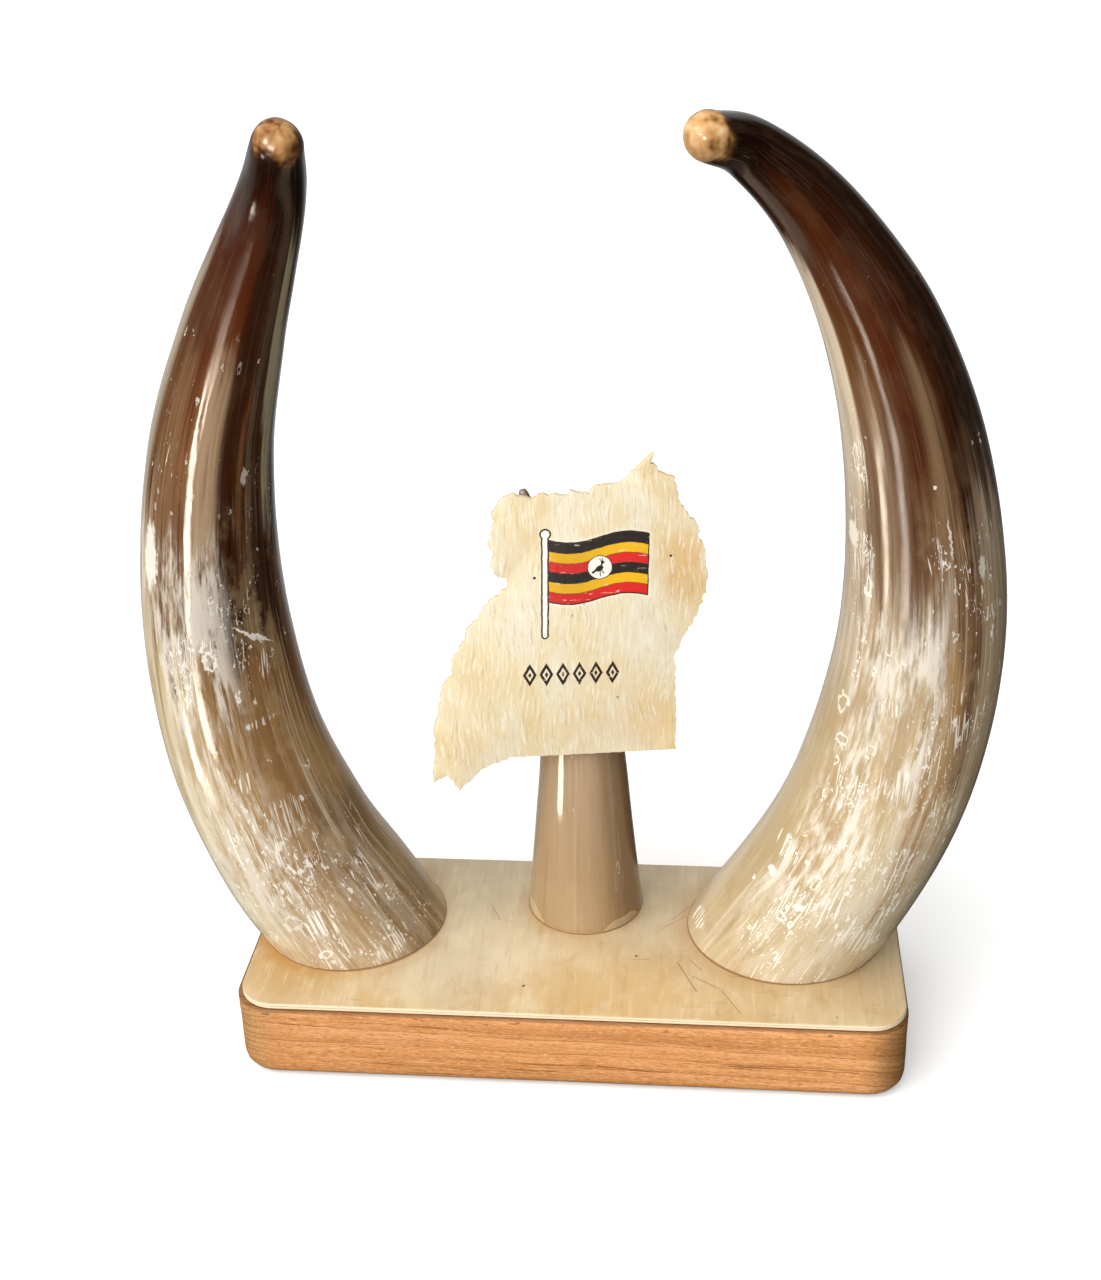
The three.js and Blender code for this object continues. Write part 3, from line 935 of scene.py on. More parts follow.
plaque = {
    "thickness": 3,
    "edgeRound": 0.35,
    "seat": (3.5, 7, 80),
    "yaw": 11,
    "lean": 5,
    "roll": -2,
    "gap": 0.25,
    "ragged": 1.0,
    "outline": (
        (24, 115.5), (23.3, 112), (26, 109), (31.5, 106), (32.5, 102), (33.5, 98), (37, 92),
        (40.5, 88.5), (41.5, 82.5), (43.5, 79), (44, 73.5), (45, 68), (43, 59), (40.5, 53), (36, 45),
        (33.5, 38), (34, 32), (34, 23), (35, 0),
        (-28, -0.5), (-32.5, -3), (-37, -4), (-40, -7), (-47, -13.5),
        (-49.5, -9), (-51.5, -7), (-56, -9.5), (-57, -8.5), (-55.5, -1), (-55.5, 12.5), (-53.5, 21.5),
        (-52.5, 28), (-48.5, 34), (-48.5, 38.5), (-44, 46.5), (-43, 51), (-38.5, 55.5), (-35, 61.5),
        (-31.5, 64), (-27.5, 67.5), (-28.5, 70.5), (-33, 72), (-34, 75), (-32.5, 79.5), (-34.5, 83),
        (-34, 86.5), (-32.5, 91), (-33, 95), (-30.5, 99),
        (-27, 101.5), (-23.5, 101), (-20, 100), (-15, 101.5), (-10, 101), (-6, 100.5), (-5.5, 102.5),
        (1, 101), (4.5, 104.5), (11, 104), (13.5, 105.5), (17.5, 109.5), (20.5, 112.5),
    ),
}


def plaqueStance():
    # From the sheet lying flat, back face down, to where it stands
    x, y, height = plaque["seat"]
    seat = Matrix.Translation(Vector((x, y, height + plateTop)))
    yaw = Matrix.Rotation(math.radians(plaque["yaw"]), 4, "Z")
    lean = Matrix.Rotation(math.radians(90 - plaque["lean"]), 4, "X")
    roll = Matrix.Rotation(math.radians(plaque["roll"]), 4, "Z")
    return seat @ yaw @ lean @ roll


def raggedOutline(points, step=0.9):
    # The sawn edge: scallops and small teeth between the outline's own points. Its one long side,
    # the lower one, is sawn nearly straight.
    ragged = []
    for start, end in zip(points, points[1:] + points[:1]):
        start, end = Vector(start), Vector(end)
        side = (end - start).normalized()
        outward = Vector((-side.y, side.x))
        length = (end - start).length
        depth = plaque["ragged"] * (0.15 if length > 40 else 1.0)
        count = max(2, round(length / step))
        for i in range(count):
            place = start.lerp(end, i / count)
            tooth = noise.noise(Vector((place.x * 0.5, place.y * 0.5, 4.0)))
            tooth += 0.6 * noise.noise(Vector((place.x * 1.4, place.y * 1.4, 9.0)))
            ragged.append(place + outward * depth * tooth)
    return ragged


def makePlaque(material):
    edge = raggedOutline(plaque["outline"])
    shape = bmesh.new()
    corners = [shape.verts.new((p.x, p.y, 0)) for p in edge]
    shape.faces.new(corners)
    extruded = bmesh.ops.extrude_face_region(shape, geom=list(shape.faces))
    lifted = [part for part in extruded["geom"] if isinstance(part, bmesh.types.BMVert)]
    bmesh.ops.translate(shape, verts=lifted, vec=(0, 0, plaque["thickness"]))
    bmesh.ops.recalc_face_normals(shape, faces=list(shape.faces))
    rims = [e for e in shape.edges if abs(e.verts[0].co.z - e.verts[1].co.z) < 0.01]
    bmesh.ops.bevel(
        shape, geom=rims, offset=plaque["edgeRound"], segments=2, profile=0.5, affect="EDGES",
        clamp_overlap=True)
    bmesh.ops.triangulate(shape, faces=[f for f in shape.faces if len(f.verts) > 4])
    mesh = bpy.data.meshes.new("map_sheet")
    shape.to_mesh(mesh)
    shape.free()
    # Places on the sheet, in metres, for the markings: right, up and away from the back face
    stored = mesh.attributes.new("sheet", "FLOAT_VECTOR", "POINT")
    for vertex, place in zip(mesh.vertices, stored.data):
        place.vector = vertex.co * mm
    mesh.transform(Matrix.Scale(mm, 4) @ plaqueStance())
    mesh.shade_smooth()
    mesh.set_sharp_from_angle(angle=math.radians(35))
    mesh.materials.append(material)
    return addObject("map_sheet", mesh)


def fileFlat(piece):
    # Files the pedestal's front back to the plane that the plaque is glued to
    stance = Matrix.Scale(mm, 4) @ plaqueStance()
    back = stance.inverted()
    for vertex in piece.data.vertices:
        place = back @ vertex.co
        if place.z > -plaque["gap"] and place.y > -plaque["gap"]:
            place.z = -plaque["gap"]
            vertex.co = stance @ place


# Markings on the plaque, in millimetres on the sheet: a waving flag on a pole, and a row of
# lozenges below it

flag = {
    "left": -13.1, "right": 22.6, "middleOfTop": 84.9, "waveHeight": 1.9, "waveLength": 41, "waveStart": 5.0,
    "stripe": 3.83,
    "colours": ("2b2623", "f2b90c", "e0201b", "2b2623", "f2b90c", "e0201b"),
    "fold": (0.1, 0.9),  # the wave's shading, and how bright the stripes are without it
    "outline": 0.42, "outlineColour": "2a1a14",
    "haloWidth": 1.6, "halo": (0.45, "fbf3e2"),
    "seamEdge": (0.055, 0.02), "seam": (0.75, "5a2a1c"),
    "disc": (5.3, 73.7), "discRadius": 4.2, "discColour": "f5efe4",
    "discLine": 0.3, "discLineColour": "3a2a20",
}

# A small crested bird, measured from the middle of the disc: a stroke is its start, end and width
bird = {
    "body": {"centre": (-0.2, -0.5), "radius": 1.5, "squash": 0.62, "turn": 25},
    "head": {"centre": (0.9, 1.9), "radius": 0.55},
    "strokes": (
        ((0.5, 0.1), (0.9, 1.9), 0.5),
        ((0.6, 2.2), (-0.1, 3.1), 0.22),
        ((0.9, 2.3), (0.7, 3.4), 0.22),
        ((-1.4, -1.0), (-2.6, -2.0), 0.6),
        ((0, -1.3), (0.2, -3.2), 0.28),
        ((0.5, -1.1), (1.5, -2.3), 0.28),
    ),
    "colour": "2b2320",
}

pole = {
    "x": -14.5, "bottom": 46.6, "top": 85.5, "halfWidth": 1.4,
    "knob": (-14.4, 86.7), "knobRadius": 2.1,
    "line": 0.62, "lineColour": "33211a", "colour": "faf4e8",
    "soft": 0.08,
}

lozenges = {
    "left": -23.2, "count": 6, "pitch": 6.1, "middle": 32.6, "halfWidth": 2.5, "halfHeight": 4.5,
    "outer": (1.03, 1.0), "hollow": (0.55, 0.58), "core": (0.27, 0.24),  # shares of the lozenge's size
    "colour": "33211a",
}

paintEdge = 0.06


def boxMask(tree, across, left, right, down, top, bottom, soft):
    return multiply(tree, between(tree, across, left, right, soft), between(tree, down, top, bottom, soft))


def discMask(tree, x, y, centre, radius, soft=0.12, squash=1.0, turn=0.0):
    dx = subtract(tree, x, centre[0])
    dy = subtract(tree, y, centre[1])
    cosine, sine = math.cos(math.radians(turn)), math.sin(math.radians(turn))
    wide = addUp(tree, multiply(tree, dx, cosine), multiply(tree, dy, sine))
    tall = addUp(tree, multiply(tree, dx, -sine), multiply(tree, dy, cosine))
    far = hypotenuse(tree, wide, tall if squash == 1.0 else divide(tree, tall, squash))
    return fade(tree, far, radius + soft, radius)


def strokeMask(tree, x, y, start, end, width, soft=0.1):
    # 1 along a straight stroke between two points
    run = Vector(end) - Vector(start)
    dx = subtract(tree, x, start[0])
    dy = subtract(tree, y, start[1])
    forward = addUp(tree, multiply(tree, dx, run.x), multiply(tree, dy, run.y))
    share = divide(tree, forward, run.length_squared, clamp=True)
    offX = subtract(tree, dx, multiply(tree, share, run.x))
    offY = subtract(tree, dy, multiply(tree, share, run.y))
    return fade(tree, hypotenuse(tree, offX, offY), width / 2 + soft, width / 2)


def paintFlag(tree, base, x, y):
    # The height below the flag's waving top edge
    wave = calc(tree, "SINE", multiply(
        tree, subtract(tree, x, flag["waveStart"]), 2 * math.pi / flag["waveLength"]))
    top = addUp(tree, multiply(tree, wave, flag["waveHeight"]), flag["middleOfTop"])
    drop = subtract(tree, top, y)
    count = len(flag["colours"])
    height = count * flag["stripe"]
    stops = [(i / count * height, code) for i, code in enumerate(flag["colours"])]
    stripes = ramp(tree, drop, stops, height, "CONSTANT")
    fold = calc(tree, "MULTIPLY_ADD", wave, *flag["fold"])
    stripes = mix(tree, 1.0, stripes, join(tree, fold, fold, fold), "MULTIPLY")
    # Thin lines where two stripes meet
    part = divide(tree, drop, flag["stripe"])
    toLine = calc(tree, "ABSOLUTE", subtract(tree, part, calc(tree, "ROUND", part)))
    stripes = stained(tree, stripes, fade(tree, toLine, *flag["seamEdge"]), flag["seam"])

    left, right, edge = flag["left"], flag["right"], flag["outline"]
    halo = boxMask(tree, x, left - edge, right + edge, drop, -edge, height + edge, flag["haloWidth"])
    outlined = boxMask(tree, x, left - edge, right + edge, drop, -edge, height + edge, paintEdge)
    filled = boxMask(tree, x, left, right, drop, 0.0, height, paintEdge)
    base = stained(tree, base, halo, flag["halo"])
    base = mix(tree, outlined, base, flag["outlineColour"])
    base = mix(tree, filled, base, stripes)
    line = discMask(tree, x, y, flag["disc"], flag["discRadius"] + flag["discLine"])
    base = mix(tree, line, base, flag["discLineColour"])
    return mix(tree, discMask(tree, x, y, flag["disc"], flag["discRadius"]), base, flag["discColour"])


def paintBird(tree, base, x, y):
    x = subtract(tree, x, flag["disc"][0])
    y = subtract(tree, y, flag["disc"][1])
    shapes = [discMask(tree, x, y, **bird["body"]), discMask(tree, x, y, **bird["head"])]
    shapes += [strokeMask(tree, x, y, *stroke) for stroke in bird["strokes"]]
    return mix(tree, largest(tree, *shapes), base, bird["colour"])


def paintPole(tree, base, x, y):
    # A pale rod with a knob, both inside a dark line
    foot = (pole["x"], pole["bottom"] + pole["halfWidth"])
    head = (pole["x"], pole["top"])
    for inset, code in ((0.0, pole["lineColour"]), (pole["line"], pole["colour"])):
        rod = strokeMask(tree, x, y, foot, head, 2 * (pole["halfWidth"] - inset), pole["soft"])
        knob = discMask(tree, x, y, pole["knob"], pole["knobRadius"] - inset, pole["soft"])
        base = mix(tree, largest(tree, rod, knob), base, code)
    return base


def paintLozenges(tree, base, x, y):
    # Equal lozenges, each with a smaller one inside
    cells = divide(tree, subtract(tree, x, lozenges["left"]), lozenges["pitch"])
    row = between(tree, cells, 0.0, lozenges["count"], 0.001)
    across = multiply(tree, subtract(tree, calc(tree, "FRACT", cells), 0.5), lozenges["pitch"])
    up = subtract(tree, y, lozenges["middle"])
    spread = addUp(
        tree, divide(tree, calc(tree, "ABSOLUTE", across), lozenges["halfWidth"]),
        divide(tree, calc(tree, "ABSOLUTE", up), lozenges["halfHeight"]))
    ring = multiply(tree, fade(tree, spread, *lozenges["outer"]), fade(tree, spread, *lozenges["hollow"]))
    shape = largest(tree, ring, fade(tree, spread, *lozenges["core"]))
    return mix(tree, multiply(tree, shape, row), base, lozenges["colour"])


plaqueLook = {
    "sway": 7,  # the grain leans and wavers by up to half of this
    "swayNoise": (40.0, 1.0),  # scale and detail
    "noises": {  # scale, detail, roughness, distortion and squash
        "streaks": (1000.0, 3.0, 0.72, 0.3, (1.0, 0.1, 1.0)),
        "broad": (48.0, 4.0, 0.6, 0.4, (1.0, 0.6, 1.0)),
        "threads": (1500.0, 2.0, 0.6, 0.0, (1.0, 0.07, 1.0)),
    },
    "bone": ((0.3, "eae0c9"), (0.45, "e8dcc0"), (0.56, "e7d5ae"), (0.72, "e0c793")),
    "patches": (  # centre, radius and strength
        ((34, 78), 13, 0.7), ((39, 66), 13, 0.65), ((27, 14), 17, 0.45), ((0, 11), 16, 0.25),
        ((-46, 2), 13, 0.2), ((-42, 30), 12, 0.2),
    ),
    "patchFraying": 30.0,
    "patchColour": "dcb36e",
    "tints": (
        ("streaks", 0.53, 0.63, 0.5, "f9f4e6"),
        ("streaks", 0.45, 0.34, 0.35, "d6bb8c"),
        ("threads", 0.6, 0.68, 0.35, "b0946c"),
    ),
    "pores": (0.8, "6a4526"),  # strength and colour
    "poreCells": 240.0,
    "poreSquash": (1.0, 0.6, 1.0),
    "poreChance": (0.9, 0.92),
    "poreSize": (0.12, 0.07),
    "pinholes": (((-18.3, 70.4), 0.45), ((30.9, 77.2), 0.4)),  # centre and radius
    "pinholeColour": "3f2a18",
    "pinholeSoft": 0.2,
    "waver": 0.5,  # of the paint's edge
    "waverScale": 330.0,
    "worn": (900.0, 3.0, 0.6, 0.4, (0.22, 1.0, 1.0)),
    "wornShare": (0.63, 0.7, 0.0, 0.6),
    "paintDepth": (0.2, 0.1),  # the paint starts this far below the front face and is full here
    "sawn": (0.25, "c9a468"),
    "roughness": (0.3, 0.7, 0.34, 0.5),  # the streaks' values, then how rough they are there
    "reliefThreads": 0.4,
    "reliefDepth": 0.12,
}


def plaqueMaterial(look):
    material, tree, shader = newMaterial("bone plaque", **{"IOR": 1.48})
    sheet = addNode(tree, "ShaderNodeAttribute", attribute_name="sheet").outputs["Vector"]
    x, y, depth = inMillimetres(tree, sheet)
    # The bone's grain stands upright
    sway = swing(tree, noiseAt(tree, sheet, *look["swayNoise"]), look["sway"] * mm)
    grown = vectorCalc(tree, "ADD", sheet, join(tree, sway, 0.0, 0.0))
    patterns = {key: noiseAt(tree, grown, *row) for key, row in look["noises"].items()}
    base = ramp(tree, patterns["broad"], look["bone"])
    for (cx, cy), radius, strength in look["patches"]:
        far = hypotenuse(tree, subtract(tree, x, cx), subtract(tree, y, cy))
        uneven = addUp(tree, far, swing(tree, patterns["broad"], look["patchFraying"]))
        patch = fade(tree, uneven, radius, radius * 0.3, 0.0, strength)
        base = mix(tree, patch, base, look["patchColour"])
    base = tinted(tree, base, patterns, look["tints"])
    # Small dark pores and a few pinholes
    pores = cellsAt(tree, vectorCalc(tree, "MULTIPLY", sheet, look["poreSquash"]), look["poreCells"])
    rare = fade(tree, split(tree, pores["Color"])[0], *look["poreChance"])
    dots = multiply(tree, fade(tree, pores["Distance"], *look["poreSize"]), rare)
    base = stained(tree, base, dots, look["pores"])
    for centre, radius in look["pinholes"]:
        hole = discMask(tree, x, y, centre, radius, look["pinholeSoft"])
        base = mix(tree, hole, base, look["pinholeColour"])

    # The paint lies on the front face alone. Its edge wavers a little, as a brush leaves it, and the bone
    # shows through where it is worn.
    waver = swing(tree, noiseAt(tree, sheet, look["waverScale"]), look["waver"])
    paintX = addUp(tree, x, waver)
    paintY = subtract(tree, y, waver)
    painted = base
    for paint in (paintFlag, paintBird, paintPole, paintLozenges):
        painted = paint(tree, painted, paintX, paintY)
    worn = noiseAt(tree, sheet, *look["worn"])
    painted = mix(tree, fade(tree, worn, *look["wornShare"]), painted, base)
    front = fade(tree, depth, *(plaque["thickness"] - distance for distance in look["paintDepth"]))
    sawnShare, sawnColour = look["sawn"]
    base = mix(tree, front, mix(tree, sawnShare, base, sawnColour), painted)
    rough = fade(tree, patterns["streaks"], *look["roughness"])
    relief = addUp(tree, patterns["streaks"], multiply(tree, patterns["threads"], look["reliefThreads"]))
    dressSurface(tree, shader, base, rough, relief, look["reliefDepth"])
    return material


pedestalLook = {
    "noises": {  # scale, squeeze along the fibres, detail and roughness
        "broad": (60.0, 0.14),
        "fine": (480.0, 0.04, 4.0, 0.65),
        "dents": (330.0, 0.3),
    },
    "bands": (
        (12, "a98f6b"), (40, "a78c69"), (85, "b09678"), (130, "9c8468"), (175, "8a7a68"), (200, "8f867c")),
    "fraying": 14.0,
    "shadeTowards": -5,
    "shadeFraying": 0.6,
    "shadeEdge": (0.25, 0.95),
    "shade": (0.75, "6a5038"),
    "tints": (("fine", 0.5, 0.7, 0.35, "8b6f4d"), ("fine", 0.42, 0.28, 0.3, "cdbb9c")),
    "ringCrowd": 0.12,
    "rings": (0.6, "eadfc9"),
    # The foot is ground pale: degrees, half width, the share of it at full height, and that height
    "crescents": ((-160, 30, 0.0, 5.5), (-44, 26, 0.3, 3.4)),
    "groundLeast": 0.7,
    "groundFraying": 1.5,
    "groundScale": 90.0,
    "groundEdge": (0.6, 0.1, 0.0, 0.5),  # distances from the edge, then the strengths there
    "groundEdgeColour": "a8773c",
    "ground": (0.0, 0.4, 0.0, 0.4),
    "groundColour": "d8c59c",
    "roughness": (0.35, 0.7, 0.22, 0.32),
    "relief": {"fine": 0.3, "broad": 1.0, "dents": 0.5},
    "reliefDepth": 0.12,
}


def pedestalMaterial(look):
    material, tree, shader = newMaterial("tan horn", **{
        "IOR": 1.5, "Specular IOR Level": 0.2, "Coat Weight": 0.6, "Coat Roughness": 0.05, "Coat IOR": 1.45,
    })
    fibre = fibreMap(tree)
    place = objectPlace(tree)
    alongHorn = divide(tree, split(tree, fibre)[2], mm)
    patterns = {key: streakNoise(tree, fibre, *row) for key, row in look["noises"].items()}
    base = ramp(tree, addUp(tree, alongHorn, swing(tree, patterns["fine"], look["fraying"])), look["bands"])
    # Painted shade: the side turned from the light is stained darker
    shadeSway = swing(tree, patterns["broad"], look["shadeFraying"])
    turned = addUp(tree, towards(tree, fibre, look["shadeTowards"]), shadeSway)
    base = stained(tree, base, fade(tree, turned, *look["shadeEdge"]), look["shade"])
    base = tinted(tree, base, patterns, look["tints"])
    base = stained(tree, base, ringMarks(tree, fibre, look["ringCrowd"]), look["rings"])
    # The ground foot shows pale crescents on both sides, edged in amber, and a line of glue below them
    groundSway = swing(tree, noiseAt(tree, place, look["groundScale"]), look["groundFraying"])
    ground = addUp(tree, look["groundLeast"], groundSway)
    for degrees, width, full, height in look["crescents"]:
        ground = addUp(tree, ground, multiply(tree, bandTowards(tree, fibre, degrees, width, full), height))
    under = subtract(tree, addUp(tree, ground, sawCut), divide(tree, split(tree, place)[2], mm))
    toEdge = calc(tree, "ABSOLUTE", under)
    base = mix(tree, fade(tree, toEdge, *look["groundEdge"]), base, look["groundEdgeColour"])
    base = mix(tree, fade(tree, under, *look["ground"]), base, look["groundColour"])
    base = glueAtFoot(tree, base, place)
    rough = fade(tree, patterns["broad"], *look["roughness"])
    relief = addUp(tree, *(multiply(tree, patterns[key], share) for key, share in look["relief"].items()))
    dressSurface(tree, shader, base, rough, relief, look["reliefDepth"])
    return material


pedestalPiece = makeHorn("pedestal", pedestalHorn, pedestalMaterial(pedestalLook), tree, sockets)
fileFlat(pedestalPiece)
plaquePiece = makePlaque(plaqueMaterial(plaqueLook))
print("pedestal and plaque made")


# The wooden block and the thin plate on it

blockShape = {
    "corner": 15,
    "cornerSteps": 14,
    "sideSteps": 40,
    "profile": ((5, 0), (3.1, 0.4), (1.5, 1.5), (0.4, 3.1), (0, 5.2), (0, 12), (0.1, 20), (0, 26),
                (0, 30.4), (0.35, 31.2)),
    "waver": 0.35,
}

plateShape = {
    "corner": 14,
    "cornerSteps": 14,
    "sideSteps": 60,
    "profile": ((0.3, 0), (0, 0.3), (0, 1.9), (0.2, 2.35), (0.5, 2.5)),
    "waver": 0.18,
}


def roundedOutline(wide, deep, corner, cornerSteps, sideSteps):
    # Anticlockwise from the front left corner, with points along the straight sides too
    arcs = []
    for cx, cy, first in ((-1, -1, 180), (1, -1, 270), (1, 1, 0), (-1, 1, 90)):
        middle = Vector((cx * (wide / 2 - corner), cy * (deep / 2 - corner)))
        angles = [math.radians(first + 90 * i / cornerSteps) for i in range(cornerSteps + 1)]
        arcs.append([middle + corner * Vector((math.cos(angle), math.sin(angle))) for angle in angles])
    outline = []
    for arc, after in zip(arcs, arcs[1:] + arcs[:1]):
        outline += arc + [arc[-1].lerp(after[0], i / sideSteps) for i in range(1, sideSteps)]
    return outline


def makeSlab(name, node, shape, material):
    low, high = (Vector(corner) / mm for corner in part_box(node))
    middle = (low + high) / 2
    places = []
    for inset, height in shape["profile"]:
        outline = roundedOutline(
            high.x - low.x - 2 * inset, high.y - low.y - 2 * inset, shape["corner"] - inset,
            shape["cornerSteps"], shape["sideSteps"])
        for p in outline:
            # Planed by hand: the sides waver inwards a little
            dip = 0.5 + 0.5 * noise.noise(Vector((p.x * 0.03, p.y * 0.03, height * 0.05 + 7)))
            pull = 1 - dip * shape["waver"] / p.length
            places.append((middle.x + p.x * pull, middle.y + p.y * pull, low.z + height))
    count = len(outline)
    faces = [tuple(reversed(range(count))), tuple(range(len(places) - count, len(places)))]
    for ring in range(len(shape["profile"]) - 1):
        for i in range(count):
            after = (i + 1) % count
            start = ring * count
            faces.append((start + i, start + after, start + count + after, start + count + i))
    mesh = bpy.data.meshes.new(name)
    mesh.from_pydata([Vector(p) * mm for p in places], [], faces)
    mesh.shade_smooth()
    mesh.set_sharp_from_angle(angle=math.radians(40))
    mesh.materials.append(material)
    return addObject(name, mesh)


woodLook = {
    "heart": 95,  # height of the tree's heart above the floor: the rings curve round it
    "slope": -0.03,
    "wander": 5,
    "wanderScale": 13.0,
    "ringsPerMm": 0.2,
    "ringBend": 4.0,
    "late": (0.45, 0.94),  # shares of a ring where its dark side and its line start and are full
    "line": (0.86, 0.94),
    "ringEnd": (1.0, 0.95),
    "noises": {  # scale, detail, roughness, distortion and squash, in millimetres
        "rings": (0.2, 3.0, 0.6, 0.0, (0.012, 0.03, 1.0)),
        "fibres": (2.2, 4.0, 0.72, 0.1, (0.03, 0.5, 1.0)),
        "pores": (3.6, 2.0, 0.6, 0.0, (0.12, 0.8, 1.0)),
    },
    "wood": ((0.3, "c5854a"), (0.42, "d79356"), (0.52, "df9b5e"), (0.62, "e9a86f"), (0.7, "d5904f")),
    "fibreTints": (("fibres", 0.5, 0.64, 0.6, "b67434"), ("fibres", 0.46, 0.34, 0.5, "f5c28d")),
    "lateTints": (("rings", 0.35, 0.6, 0.6, "b4722f"),),
    "lineTints": (("fibres", 0.36, 0.56, 0.8, "7c4819"),),
    "poreTints": (("pores", 0.57, 0.66, 0.6, "8a5425"), ("pores", 0.4, 0.32, 0.5, "fad3a4")),
    "ends": (106, 125),  # the ends begin to darken here, to the left and right
    "leftEnd": (0.6, "b08a5c"),
    # rightEnd: greyer and darker, painted shade where the block turns from the light
    "rightEnd": (0.65, "84643c"),
    "endRings": (0.55, 3.0),  # arcs to a millimetre, and their bend
    "endRingStart": (0.5, 0.9),
    "endRingEnd": (1.0, 0.93),
    "endRing": (0.55, "6e4a26"),
    "dots": (1300.0, 3.0, 0.6),
    "endDots": (("dots", 0.52, 0.7, 0.5, "5b3b1c"),),
    "chips": (420.0, 3.0, 0.5, 0.0, (0.35, 1.0, 1.0)),
    "chipEdge": (0.64, 0.67),
    "chipHeights": (23.0, 30.0),
    "chipGrime": 0.6,
    # painted shade: darker where the block curves under at the floor and just under the plate
    "lowShade": (3.0, 0.0, 0.0, 0.5),  # heights, then the strengths there
    "shadeUnderPlate": (29.9, 31.0, 0.0, 0.7),
    "shadeAndGrimeColour": "6d4521",
    "roughness": (0.3, 0.7, 0.42, 0.6),
    "reliefDepth": 0.25,
    "reliefStrength": 0.6,
}


def woodMaterial(look):
    material, tree, shader = newMaterial("wood", **{"IOR": 1.45, "Specular IOR Level": 0.35})
    place = objectPlace(tree)
    x, y, z = inMillimetres(tree, place)
    # Growth rings run along the block, curve round the tree's heart and wander a little
    radial = hypotenuse(tree, y, subtract(tree, z, look["heart"]))
    drift = swing(tree, noiseAt(tree, place, look["wanderScale"]), look["wander"])
    ringPlace = addUp(tree, radial, multiply(tree, x, look["slope"]), drift)
    grown = join(tree, x, y, ringPlace)
    patterns = {key: noiseAt(tree, grown, *row) for key, row in look["noises"].items()}
    patterns["dots"] = noiseAt(tree, place, *look["dots"])
    rings = patterns["rings"]
    base = ramp(tree, rings, look["wood"])
    base = tinted(tree, base, patterns, look["fibreTints"])
    # Each ring darkens towards its outer side and ends there in a fine line
    ring = calc(tree, "FRACT", addUp(
        tree, multiply(tree, ringPlace, look["ringsPerMm"]), multiply(tree, rings, look["ringBend"])))
    ringEnd = fade(tree, ring, *look["ringEnd"])
    late = multiply(tree, fade(tree, ring, *look["late"]), ringEnd)
    line = multiply(tree, fade(tree, ring, *look["line"]), ringEnd)
    base = tinted(tree, base, patterns, look["lateTints"], late)
    base = tinted(tree, base, patterns, look["lineTints"], line)
    base = tinted(tree, base, patterns, look["poreTints"])
    # Both ends turn greyer, the right one darker still as painted shade where the block turns from the
    # light, and end grain shows arcs and fine dots
    firstEnd, lastEnd = look["ends"]
    leftEnd = fade(tree, x, -firstEnd, -lastEnd)
    rightEnd = fade(tree, x, firstEnd, lastEnd)
    base = stained(tree, base, leftEnd, look["leftEnd"])
    # painted shade on the right end
    base = stained(tree, base, rightEnd, look["rightEnd"])
    ends = addUp(tree, leftEnd, rightEnd)
    perMm, bend = look["endRings"]
    endRing = calc(tree, "FRACT", addUp(tree, multiply(tree, ringPlace, perMm), multiply(tree, rings, bend)))
    arc = multiply(
        tree, fade(tree, endRing, *look["endRingStart"]), fade(tree, endRing, *look["endRingEnd"]))
    base = stained(tree, base, multiply(tree, ends, arc), look["endRing"])
    base = tinted(tree, base, patterns, look["endDots"], ends)
    # Painted shade low down, where the block curves under, and just under the plate, with grime in small
    # chips along the upper edge
    spots = fade(tree, noiseAt(tree, place, *look["chips"]), *look["chipEdge"])
    chips = multiply(tree, spots, fade(tree, z, *look["chipHeights"]))
    shadeAndGrime = largest(
        tree, fade(tree, z, *look["lowShade"]), fade(tree, z, *look["shadeUnderPlate"]),
        multiply(tree, chips, look["chipGrime"]))
    base = mix(tree, shadeAndGrime, base, look["shadeAndGrimeColour"])
    rough = fade(tree, patterns["fibres"], *look["roughness"])
    relief = subtract(tree, addUp(tree, rings, patterns["fibres"]), chips)
    dressSurface(tree, shader, base, rough, relief, look["reliefDepth"], look["reliefStrength"])
    return material


